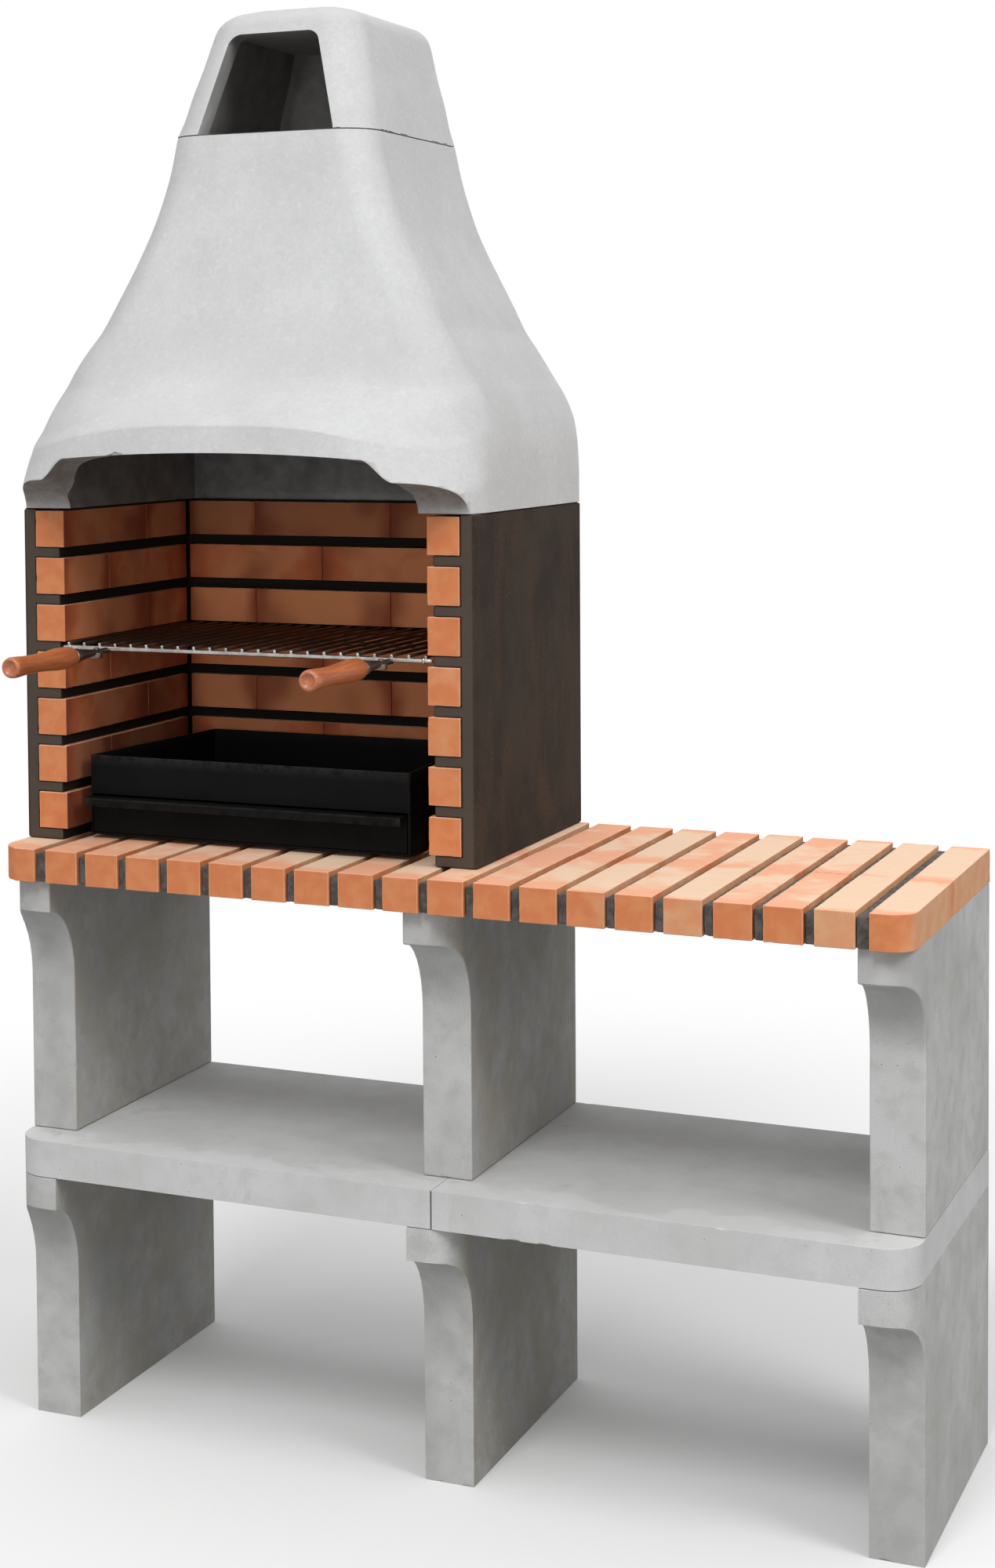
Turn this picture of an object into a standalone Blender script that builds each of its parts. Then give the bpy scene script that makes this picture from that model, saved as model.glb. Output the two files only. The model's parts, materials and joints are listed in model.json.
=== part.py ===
"""Outdoor masonry barbecue.

Corbelled concrete legs carry a shelf and a worktop of brick rows. A brick-lined chamber stands at one
end of the worktop, under a bell-shaped hood and a chimney cap. A wire grill slides in a course joint,
and an ember pan with an ash drawer stands on the worktop.

+X is to the right, +Y to the back, +Z up. The origin is on the ground, below the middle of the worktop.
"""

import math

import bmesh
import bpy
from mathutils import Matrix

# Bricks and clearances
brick_length = 0.220
brick_face = 0.050
brick_thickness = 0.0455
brick_edge = 0.0016
butt_joint = 0.0012
butt_depth = 0.006
seat_gap = 0.0003
overrun = 0.012
weld_distance = 0.00001

# Worktop
inner_rows = 18
row_joint = 0.0127
end_joint = 0.0166
left_row_width = 0.0604
right_row_width = 0.0525
left_row_corner = 0.040
right_row_corner = 0.029
worktop_depth = 0.458
mortar_below_top = 0.006
mortar_behind_face = 0.004
bed_thickness = 0.012
bed_inset = 0.030

# Legs and shelf
leg_width = 0.069
lower_leg_height = 0.353
upper_leg_height = 0.360
leg_setback = 0.075
lower_corbel_setback = 0.020
upper_corbel_setback = 0.015
corbel_face = 0.044
corbel_cove = 0.097
corbel_corner = 0.047
left_leg_inset = 0.005
right_leg_inset = 0.001
middle_leg_offset = 0.0035
shelf_thickness = 0.050
shelf_setback = 0.021
shelf_corner = 0.045
shelf_edge = 0.010

# Brick-lined chamber
courses = 7
course_joint = 0.0148
foot_joint = 0.015
chamber_width = 0.544
backing_thickness = 0.022
panel_height = 0.456
wall_setback = 0.0735
face_recess = 0.002
groove_depth = 0.0077
panel_corner = 0.007
side_wall_bricks = 0.3365
back_brick_gap = 0.0045
back_brick_thickness = 0.025
back_corner_joint = 0.003

# Hood
hood_height = 0.508
hood_side_overhang = 0.0005
neck_half_width = 0.1516
visor_overhang = 0.012
hood_neck_setback = 0.151
visor_corner = 0.170
neck_corner = 0.050
hood_rear_corner = 0.006
hood_shell = 0.030
hood_back_shell = 0.028
hood_inner_corner = 0.025
pillar_width = 0.079
cavetto_height = 0.043
arch_crown_height = 0.080
arch_shoulder_height = 0.072
arch_haunch = 0.044
brow_drop = 0.025
brow_half = 0.234
brow_fade = 0.254

# Chimney cap
cap_height = 0.177
cap_top_half = 0.070
cap_top_setback = 0.240
cap_top_corner = 0.030
cap_shell = 0.029
cap_roof = 0.036
cap_inner_corner = 0.022
mouth_base_half = 0.105
mouth_top_half = 0.058
mouth_height = 0.140
mouth_corner = 0.020

# Grill
bar_spacing = 0.0244
bar_side_gap = 0.0036
bar_diameter = 0.005
cross_diameter = 0.0065
cross_side_gap = 0.002
weld_sink = 0.0006
grill_setback = 0.078
grill_depth = 0.328
bar_tip = 0.003
groove_course = 4
left_shank_inset = 0.0645
right_shank_inset = 0.0545
shank_length = 0.0885
shank_diameter = 0.008
shank_rise = 0.0015
shank_end_diameter = 0.017
ferrule_length = 0.012
ferrule_diameter = 0.021
clamp_diameter = 0.017
clamp_height = 0.008
clamp_from_wire = 0.029
tang_length = 0.045
tang_diameter = 0.008
tang_play = 0.0004
grip_length = 0.148
grip_diameter = 0.030

# Ember pan and ash drawer
pan_left_gap = 0.017
pan_right_gap = 0.040
pan_taper = 0.033
pan_setback = 0.105
pan_depth = 0.295
pan_height = 0.115
pan_sheet = 0.0025
pan_foot_height = 0.005
pan_foot_diameter = 0.024
pan_foot_inset = 0.035
coal_depth = 0.051
slots = 11
slot_width = 0.008
slot_length = 0.200
drawer_play = 0.0028
drawer_rear_play = 0.005
drawer_height = 0.051
drawer_sheet = 0.002
lip_reach = 0.022
lip_height = 0.013

# Places that follow from the sizes above
worktop_length = (
    left_row_width + right_row_width + 2 * end_joint + inner_rows * brick_face + (inner_rows - 1) * row_joint
)
left_x = -worktop_length / 2
right_x = worktop_length / 2
front_y = -worktop_depth / 2
back_y = worktop_depth / 2
shelf_z = lower_leg_height + seat_gap
upper_leg_z = shelf_z + shelf_thickness + seat_gap
brick_z = upper_leg_z + upper_leg_height + seat_gap
worktop_z = brick_z + brick_thickness
wall_thickness = backing_thickness + brick_thickness
unit_width = chamber_width + 2 * wall_thickness
unit_x = left_x + unit_width / 2
chamber_half = chamber_width / 2
wall_z = worktop_z + seat_gap
wall_front_y = front_y + wall_setback
side_bricks_end_y = wall_front_y + side_wall_bricks
back_brick_y = side_bricks_end_y + back_brick_gap
back_brick_end_y = back_brick_y + back_brick_thickness
course_pitch = brick_face + course_joint
hood_z = wall_z + panel_height + seat_gap
hood_half = unit_width / 2 + hood_side_overhang
visor_y = front_y - visor_overhang
lip_z = hood_z + cavetto_height
neck_y = front_y + hood_neck_setback
cap_z = hood_z + hood_height + seat_gap
grill_front_y = front_y + grill_setback
grill_rear_y = grill_front_y + grill_depth
groove_floor_z = wall_z + foot_joint + (courses - groove_course + 1) * course_pitch - course_joint
cross_z = groove_floor_z + seat_gap + cross_diameter / 2
bar_z = cross_z + (cross_diameter + bar_diameter) / 2 - weld_sink
bar_span = chamber_width - 2 * bar_side_gap
bar_spaces = round(bar_span / bar_spacing)
shank_z = cross_z + shank_rise
shank_x = {
    "left": unit_x - chamber_half + left_shank_inset,
    "right": unit_x + chamber_half - right_shank_inset,
}
pan_front_half = (chamber_width - pan_left_gap - pan_right_gap) / 2
pan_rear_half = pan_front_half - pan_taper
pan_x = unit_x - chamber_half + pan_left_gap + pan_front_half
pan_front_y = front_y + pan_setback
pan_rear_y = pan_front_y + pan_depth
pan_z = worktop_z + seat_gap

# Outline of the hood from its foot to its neck. Each entry holds the height as a share of the hood's
# height, then shares of the way from the neck to the foot for the half width, from the neck to the
# visor for the front, and from the neck's plan corner to the visor's.
hood_station_shares = [
    (0.000, 1.000, 1.000, 0.750),
    (0.040, 1.000, 1.000, 0.770),
    (0.085, 1.000, 1.000, 0.800),
    (0.120, 0.995, 1.000, 0.830),
    (0.155, 0.989, 1.000, 0.880),
    (0.190, 0.979, 1.000, 0.950),
    (0.226, 0.960, 1.000, 1.000),
    (0.252, 0.935, 0.865, 0.900),
    (0.281, 0.903, 0.712, 0.660),
    (0.311, 0.862, 0.570, 0.460),
    (0.344, 0.811, 0.450, 0.300),
    (0.386, 0.739, 0.350, 0.140),
    (0.429, 0.663, 0.265, 0.060),
    (0.478, 0.573, 0.185, 0.025),
    (0.543, 0.485, 0.123, 0.010),
    (0.628, 0.363, 0.080, 0.000),
    (0.695, 0.268, 0.064, 0.000),
    (0.764, 0.182, 0.046, 0.000),
    (0.835, 0.114, 0.022, 0.000),
    (0.909, 0.055, 0.006, 0.000),
    (1.000, 0.000, 0.000, 0.000),
]

# Height of the brow, the crease between the visor band and the sweep above it
brow_share = 0.226

# Outline of the cap, in the same way: height share, then shares of the way from its top to its base.
cap_station_shares = [
    (0.000, 1.000, 1.000, 1.00),
    (0.150, 0.900, 0.906, 1.00),
    (0.316, 0.821, 0.803, 0.95),
    (0.582, 0.662, 0.638, 0.90),
    (0.785, 0.564, 0.506, 0.85),
    (0.850, 0.519, 0.461, 0.80),
    (0.910, 0.429, 0.379, 0.65),
    (0.960, 0.288, 0.252, 0.45),
    (1.000, 0.000, 0.000, 0.00),
]

# Turned grip: place along the grip from its ferrule end and radius, as shares of length and diameter.
grip_profile_shares = [
    (0.000, 0.320),
    (0.012, 0.400),
    (0.060, 0.465),
    (0.140, 0.498),
    (0.240, 0.500),
    (0.360, 0.465),
    (0.500, 0.425),
    (0.640, 0.410),
    (0.780, 0.425),
    (0.880, 0.455),
    (0.940, 0.470),
    (0.975, 0.455),
    (0.994, 0.400),
    (1.000, 0.330),
]
grip_dimple_share = 0.030

plain_colours = {
    "brick": (0.62, 0.27, 0.14, 1, 0.85, 0),
    "mortar": (0.10, 0.09, 0.085, 1, 0.95, 0),
    "concrete": (0.45, 0.44, 0.42, 1, 0.90, 0),
    "refractory": (0.085, 0.065, 0.055, 1, 0.95, 0),
    "render_coat": (0.72, 0.71, 0.69, 1, 0.80, 0),
    "black_sheet": (0.012, 0.012, 0.012, 1, 0.55, 0),
    "chromed_wire": (0.60, 0.60, 0.60, 1, 0.25, 1),
    "varnished_wood": (0.52, 0.20, 0.07, 1, 0.35, 0),
}


def clear_scene():
    for obj in list(bpy.data.objects):
        bpy.data.objects.remove(obj, do_unlink=True)


def new_collection(name):
    collection = bpy.data.collections.new(name)
    bpy.context.scene.collection.children.link(collection)
    return collection


def make_material(name):
    red, green, blue, alpha, roughness, metallic = plain_colours[name]
    material = bpy.data.materials.new(name)
    material.use_nodes = True
    shader = material.node_tree.nodes["Principled BSDF"]
    shader.inputs["Base Color"].default_value = (red, green, blue, alpha)
    shader.inputs["Roughness"].default_value = roughness
    shader.inputs["Metallic"].default_value = metallic
    return material


clear_scene()
parts = new_collection("masonry_barbecue")
cutters = new_collection("cutters")
materials = {name: make_material(name) for name in plain_colours}


def finish_mesh(mesh):
    """Weld the mesh's loose caps and point its faces outwards."""
    work = bmesh.new()
    work.from_mesh(mesh)
    bmesh.ops.remove_doubles(work, verts=work.verts, dist=weld_distance)
    bmesh.ops.recalc_face_normals(work, faces=work.faces)
    work.to_mesh(mesh)
    work.free()


def place(name, mesh, collection):
    obj = bpy.data.objects.new(name, mesh)
    collection.objects.link(obj)
    return obj


def curve_to_object(curve, matrix, collection):
    """A mesh object made from a curve, standing where the matrix puts it."""
    source = place(curve.name, curve, collection)
    source.matrix_world = matrix
    bpy.context.view_layer.update()
    shape = source.evaluated_get(bpy.context.evaluated_depsgraph_get())
    mesh = bpy.data.meshes.new_from_object(shape)
    name = curve.name
    bpy.data.objects.remove(source)
    bpy.data.curves.remove(curve)
    finish_mesh(mesh)
    mesh.name = name
    obj = place(name, mesh, collection)
    obj.matrix_world = matrix
    return obj


AXES = {
    "X": Matrix(((0, 0, 1), (1, 0, 0), (0, 1, 0))),
    "Y": Matrix(((1, 0, 0), (0, 0, -1), (0, 1, 0))),
    "Z": Matrix.Identity(3),
}


def prism(name, outline, axis, low, high, collection):
    """A flat outline with its thickness along an axis: (x, y), (x, z) or (y, z) points."""
    curve = bpy.data.curves.new(name, "CURVE")
    curve.dimensions = "2D"
    curve.fill_mode = "BOTH"
    curve.extrude = (high - low) / 2
    spline = curve.splines.new("POLY")
    spline.points.add(len(outline) - 1)
    centre_u = (min(u for u, _ in outline) + max(u for u, _ in outline)) / 2
    centre_v = (min(v for _, v in outline) + max(v for _, v in outline)) / 2
    for point, (u, v) in zip(spline.points, outline):
        point.co = (u - centre_u, v - centre_v, 0, 1)
    spline.use_cyclic_u = True
    matrix = AXES[axis].to_4x4()
    middle = (low + high) / 2
    matrix.translation = {
        "X": (middle, centre_u, centre_v),
        "Y": (centre_u, middle, centre_v),
        "Z": (centre_u, centre_v, middle),
    }[axis]
    return curve_to_object(curve, matrix, collection)


def box(name, low, high, collection):
    mesh = bpy.data.meshes.new(name)
    work = bmesh.new()
    bmesh.ops.create_cube(work, size=1)
    size = [b - a for a, b in zip(low, high)]
    bmesh.ops.scale(work, vec=size, verts=work.verts)
    work.to_mesh(mesh)
    work.free()
    obj = place(name, mesh, collection)
    obj.location = [(a + b) / 2 for a, b in zip(low, high)]
    return obj


def tube(name, points, radii, sides_level, collection):
    """A round wire along the points, with a radius at each of them."""
    curve = bpy.data.curves.new(name, "CURVE")
    curve.dimensions = "3D"
    curve.bevel_depth = max(radii)
    curve.bevel_resolution = sides_level
    curve.use_fill_caps = True
    spline = curve.splines.new("POLY")
    spline.points.add(len(points) - 1)
    for point, place_on_wire, radius in zip(spline.points, points, radii):
        point.co = (*place_on_wire, 1)
        point.radius = radius / max(radii)
    return curve_to_object(curve, Matrix.Identity(4), collection)


def disc(name, centre, diameter, height, sides, collection):
    mesh = bpy.data.meshes.new(name)
    work = bmesh.new()
    radius = diameter / 2
    bmesh.ops.create_cone(
        work, cap_ends=True, segments=sides, radius1=radius, radius2=radius, depth=height
    )
    work.to_mesh(mesh)
    work.free()
    obj = place(name, mesh, collection)
    obj.location = centre
    return obj


def loft(name, rings, collection):
    """A closed body between rings with the same number of points, capped at both ends."""
    mesh = bpy.data.meshes.new(name)
    work = bmesh.new()
    loops = [[work.verts.new(point) for point in ring] for ring in rings]
    count = len(loops[0])
    for lower, upper in zip(loops, loops[1:]):
        for i in range(count):
            j = (i + 1) % count
            work.faces.new((lower[i], lower[j], upper[j], upper[i]))
    work.faces.new(list(reversed(loops[0])))
    work.faces.new(loops[-1])
    bmesh.ops.recalc_face_normals(work, faces=work.faces)
    bmesh.ops.triangulate(work, faces=work.faces)
    work.to_mesh(mesh)
    work.free()
    return place(name, mesh, collection)


def join(name, objects, collection):
    """One object from several, which stay separate bodies inside it."""
    work = bmesh.new()
    for obj in objects:
        bpy.context.view_layer.update()
        mesh = obj.data.copy()
        mesh.transform(obj.matrix_world)
        work.from_mesh(mesh)
        bpy.data.meshes.remove(mesh)
        bpy.data.objects.remove(obj)
    mesh = bpy.data.meshes.new(name)
    work.to_mesh(mesh)
    work.free()
    return place(name, mesh, collection)


def change(obj, tool, operation="DIFFERENCE"):
    """Cut the tool from the object, or add it, and keep the tool as a hidden cutter."""
    modifier = obj.modifiers.new(tool.name, "BOOLEAN")
    modifier.operation = operation
    modifier.solver = "EXACT"
    modifier.object = tool
    tool.hide_render = True
    tool.display_type = "WIRE"


def soften(obj, width, segments=1):
    """Round off the object's sharp edges."""
    modifier = obj.modifiers.new("soft_edges", "BEVEL")
    modifier.width = width
    modifier.segments = segments
    modifier.limit_method = "ANGLE"
    modifier.angle_limit = math.radians(40)


def give(obj, material_name):
    obj.data.materials.clear()
    obj.data.materials.append(materials[material_name])
    obj.data.shade_smooth()
    obj.data.set_sharp_from_angle(angle=math.radians(35))


def arc(centre, radii, start, end, steps):
    """Points of an elliptical arc between two angles in degrees."""
    points = []
    for step in range(steps + 1):
        angle = math.radians(start + (end - start) * step / steps)
        points.append((centre[0] + radii[0] * math.cos(angle), centre[1] + radii[1] * math.sin(angle)))
    return points


def rounded_plan(low, high, front_left, front_right, rear_left, rear_right, steps):
    """Plan of a block seen from above, with a radius at each corner; a zero corner is one point."""
    left, front = low
    right, back = high
    corners = [
        (left, front, front_left, 180, 1, 1),
        (right, front, front_right, 270, -1, 1),
        (right, back, rear_right, 0, -1, -1),
        (left, back, rear_left, 90, 1, -1),
    ]
    outline = []
    for x, y, radius, start, sign_x, sign_y in corners:
        if radius:
            centre = (x + sign_x * radius, y + sign_y * radius)
            outline += arc(centre, (radius, radius), start, start + 90, steps)
        else:
            outline.append((x, y))
    return outline


def mixed(share, far, near):
    """The value a share of the way from far to near."""
    return far + share * (near - far)


def build_leg(name, left, base_z, height, corbel_setback, rounded_side):
    """A leg with a corbel at its top front, coved into the leg and rounded at one plan corner."""
    top = base_z + height
    face_y = front_y + corbel_setback
    leg_y = front_y + leg_setback
    cove_z = top - corbel_face - corbel_cove
    cove = arc((face_y, cove_z), (leg_y - face_y, corbel_cove), 90, 0, 8)
    outline = [(back_y, base_z), (back_y, top), (face_y, top)] + cove + [(leg_y, base_z)]
    leg = prism(name, outline, "X", left, left + leg_width, parts)
    side = left + leg_width if rounded_side == "right" else left
    inward = -1 if rounded_side == "right" else 1
    centre = (side + inward * corbel_corner, face_y + corbel_corner)
    start = 270 if rounded_side == "right" else 180
    curve = arc(centre, (corbel_corner, corbel_corner), start, start + 90, 8)
    past_side = side - inward * overrun
    past_face = face_y - overrun
    outer = [(past_side, centre[1]), (past_side, past_face), (centre[0], past_face)]
    if rounded_side == "left":
        outer.reverse()
    corner = prism(name + "_corner", curve + outer, "Z", cove_z - overrun, top + overrun, cutters)
    change(leg, corner)
    give(leg, "concrete")


def build_legs():
    lefts = {
        "left": left_x + left_leg_inset,
        "middle": middle_leg_offset - leg_width / 2,
        "right": right_x - right_leg_inset - leg_width,
    }
    storeys = {
        "lower": (0, lower_leg_height, lower_corbel_setback),
        "upper": (upper_leg_z, upper_leg_height, upper_corbel_setback),
    }
    for side, left in lefts.items():
        rounded_side = "left" if side == "left" else "right"
        for storey, (base_z, height, setback) in storeys.items():
            build_leg("leg_%s_%s" % (storey, side), left, base_z, height, setback, rounded_side)


def build_shelf():
    """Two slabs that meet over the middle leg, with a rounded top edge along the front and the end."""
    spans = {
        "left": (left_x + left_leg_inset, middle_leg_offset - seat_gap / 2, shelf_corner, 0),
        "right": (middle_leg_offset + seat_gap / 2, right_x - right_leg_inset, 0, shelf_corner),
    }
    for side, (left, right, front_left, front_right) in spans.items():
        front = front_y + shelf_setback
        plan = rounded_plan((left, front), (right, back_y), front_left, front_right, 0, 0, 8)
        slab = prism("shelf_" + side, plan, "Z", shelf_z, shelf_z + shelf_thickness, parts)
        weights = slab.data.attributes.new("bevel_weight_edge", "FLOAT", "EDGE")
        for edge in slab.data.edges:
            ends = [slab.matrix_world @ slab.data.vertices[i].co for i in edge.vertices]
            on_top = all(end.z > shelf_z + shelf_thickness / 2 for end in ends)
            at_back = all(end.y > back_y - seat_gap for end in ends)
            weights.data[edge.index].value = 1 if on_top and not at_back else 0
        bevel = slab.modifiers.new("rounded_top", "BEVEL")
        bevel.width = shelf_edge
        bevel.segments = 3
        bevel.limit_method = "WEIGHT"
        give(slab, "concrete")


def worktop_rows():
    """Left and right side of each brick row, from left to right."""
    rows = [(left_x, left_x + left_row_width)]
    left = left_x + left_row_width + end_joint
    for _ in range(inner_rows):
        rows.append((left, left + brick_face))
        left += brick_face + row_joint
    rows.append((right_x - right_row_width, right_x))
    return rows


def bed_span():
    return (left_x + bed_inset, right_x - bed_inset), (front_y + bed_inset, back_y - bed_inset)


def build_worktop():
    """Rows of two bricks end to end, standing over a mortar bed that joins the ribs between them."""
    rows = worktop_rows()
    (bed_left, bed_right), (bed_front, bed_back) = bed_span()
    rebate_z = brick_z + bed_thickness + seat_gap
    butt_y = front_y + brick_length
    pockets = []
    for number, (left, right) in enumerate(rows, start=1):
        first = number == 1
        last = number == len(rows)
        left_corner = left_row_corner if first else 0
        right_corner = right_row_corner if last else 0
        plan = rounded_plan((left, front_y), (right, back_y), left_corner, right_corner, 0, 0, 7)
        row = prism("worktop_row_%02d" % number, plan, "Z", brick_z, worktop_z, parts)
        soften(row, brick_edge)
        rebate_left = bed_left - seat_gap if first else left - overrun
        rebate_right = bed_right + seat_gap if last else right + overrun
        rebate = box(
            row.name + "_rebate",
            (rebate_left, bed_front - seat_gap, brick_z - overrun),
            (rebate_right, bed_back + seat_gap, rebate_z),
            cutters,
        )
        change(row, rebate)
        butt = box(
            row.name + "_butt",
            (left - overrun, butt_y, worktop_z - butt_depth),
            (right + overrun, butt_y + butt_joint, worktop_z + overrun),
            cutters,
        )
        change(row, butt)
        give(row, "brick")
        pocket = [
            (front_y - overrun, brick_z - overrun),
            (front_y - overrun, worktop_z + overrun),
            (back_y + overrun, worktop_z + overrun),
            (back_y + overrun, brick_z - overrun),
            (bed_back, brick_z - overrun),
            (bed_back, rebate_z - seat_gap),
            (bed_front, rebate_z - seat_gap),
            (bed_front, brick_z - overrun),
        ]
        pocket_left = left - overrun if first else left - seat_gap
        pocket_right = right + overrun if last else right + seat_gap
        pockets.append(prism(row.name + "_pocket", pocket, "X", pocket_left, pocket_right, cutters))
    mortar = box(
        "worktop_mortar",
        (bed_left, front_y + mortar_behind_face, brick_z),
        (bed_right, back_y - mortar_behind_face, worktop_z - mortar_below_top),
        parts,
    )
    change(mortar, join("worktop_pockets", pockets, cutters))
    give(mortar, "mortar")


def course_spans():
    """Bottom and top of each course, from the top course down."""
    spans = []
    for number in range(1, courses + 1):
        bottom = wall_z + foot_joint + (courses - number) * course_pitch
        spans.append((bottom, bottom + brick_face))
    return spans


def build_side_wall(side):
    """A concrete panel with a pocket for each course, and the courses of brick set in it."""
    sign = -1 if side == "left" else 1
    outer = unit_x + sign * unit_width / 2
    back_of_brick = unit_x + sign * (chamber_half + brick_thickness)
    face = unit_x + sign * chamber_half
    groove = face + sign * groove_depth
    low, high = sorted((outer, groove))
    left_corner = panel_corner if side == "left" else 0
    right_corner = panel_corner if side == "right" else 0
    plan = rounded_plan((low, wall_front_y + face_recess), (high, back_y), left_corner, right_corner, 0, 0, 5)
    panel = prism("panel_" + side, plan, "Z", wall_z, wall_z + panel_height, parts)
    pockets = []
    for number, (bottom, top) in enumerate(course_spans(), start=1):
        far = face - sign * overrun
        near = back_of_brick + sign * seat_gap
        pocket_low, pocket_high = sorted((far, near))
        over = overrun if number == 1 else seat_gap
        pockets.append(
            box(
                "pocket",
                (pocket_low, wall_front_y - overrun, bottom - seat_gap),
                (pocket_high, side_bricks_end_y + seat_gap, top + over),
                cutters,
            )
        )
        brick_low, brick_high = sorted((face, back_of_brick))
        brick = box(
            "course_%s_%d" % (side, number),
            (brick_low, wall_front_y, bottom),
            (brick_high, side_bricks_end_y, top),
            parts,
        )
        soften(brick, brick_edge)
        long_first = number % 2 == 1
        butt_y = wall_front_y + brick_length if long_first else side_bricks_end_y - brick_length
        cut_low, cut_high = sorted((face - sign * overrun, face + sign * butt_depth))
        butt = box(
            brick.name + "_butt",
            (cut_low, butt_y, bottom - overrun),
            (cut_high, butt_y + butt_joint, top + overrun),
            cutters,
        )
        change(brick, butt)
        give(brick, "brick")
    change(panel, join("pockets_" + side, pockets, cutters))
    give(panel, "refractory")


def build_back_wall():
    """The back panel between the side panels, with thinner bricks in running bond."""
    panel_half = chamber_half + groove_depth - seat_gap
    brick_half = chamber_half - back_corner_joint
    panel = box(
        "panel_back",
        (unit_x - panel_half, back_brick_y + groove_depth, wall_z),
        (unit_x + panel_half, back_y, wall_z + panel_height),
        parts,
    )
    pockets = []
    for number, (bottom, top) in enumerate(course_spans(), start=1):
        over = overrun if number == 1 else seat_gap
        pockets.append(
            box(
                "pocket",
                (unit_x - brick_half - seat_gap, back_brick_y - overrun, bottom - seat_gap),
                (unit_x + brick_half + seat_gap, back_brick_end_y + seat_gap, top + over),
                cutters,
            )
        )
        brick = box(
            "course_back_%d" % number,
            (unit_x - brick_half, back_brick_y, bottom),
            (unit_x + brick_half, back_brick_end_y, top),
            parts,
        )
        soften(brick, brick_edge)
        left = unit_x - brick_half
        first_butt = brick_length / 2 if number % 2 == 1 else brick_length
        butts = []
        place_along = first_butt
        while place_along < 2 * brick_half - brick_length / 4:
            butts.append(
                box(
                    "butt",
                    (left + place_along, back_brick_y - overrun, bottom - overrun),
                    (left + place_along + butt_joint, back_brick_y + butt_depth, top + overrun),
                    cutters,
                )
            )
            place_along += brick_length
        change(brick, join(brick.name + "_butts", butts, cutters))
        give(brick, "brick")
    change(panel, join("pockets_back", pockets, cutters))
    give(panel, "refractory")


def bell_ring(half, front, back, corner, rear_corner, z, steps, front_steps=1):
    """One plan section of the hood or the cap, rounded at the front and nearly sharp at the back."""
    corner = min(corner, half)
    plan = rounded_plan((unit_x - half, front), (unit_x + half, back), corner, corner, 0, 0, steps)
    trimmed = []
    for number, (x, y) in enumerate(plan):
        if y < back:
            trimmed.append((x, y, z))
            if number == steps:
                for step in range(1, front_steps):
                    along = (2 * step / front_steps - 1) * (half - corner)
                    trimmed.append((unit_x + along, front, z))
            continue
        sign = -1 if x < unit_x else 1
        cut_side = (x, back - rear_corner, z)
        cut_back = (x - sign * rear_corner, back, z)
        trimmed += [cut_side, cut_back] if sign > 0 else [cut_back, cut_side]
    return trimmed


def hood_stations():
    """Height, half width, front and plan corner of each section of the hood."""
    stations = []
    for height_share, width_share, front_share, corner_share in hood_station_shares:
        z = hood_z + height_share * hood_height
        half = mixed(width_share, neck_half_width, hood_half)
        front = mixed(front_share, neck_y, visor_y)
        corner = mixed(corner_share, neck_corner, visor_corner)
        stations.append((z, half, front, corner))
    return stations


def arched(ring):
    """Lowers a section of the hood towards its front corners, so that the brow runs in an arch."""
    brow_height = brow_share * hood_height
    points = []
    for x, y, z in ring:
        height = z - hood_z
        rising = height / brow_height
        fading = 1 - (height - brow_height) / brow_fade
        strength = max(0, min(rising, fading, 1))
        forward = max(0, min(1, (visor_y + visor_corner - y) / visor_corner))
        drop = brow_drop * abs((x - unit_x) / brow_half) ** 3
        points.append((x, y, z - drop * forward * strength))
    return points


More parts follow.
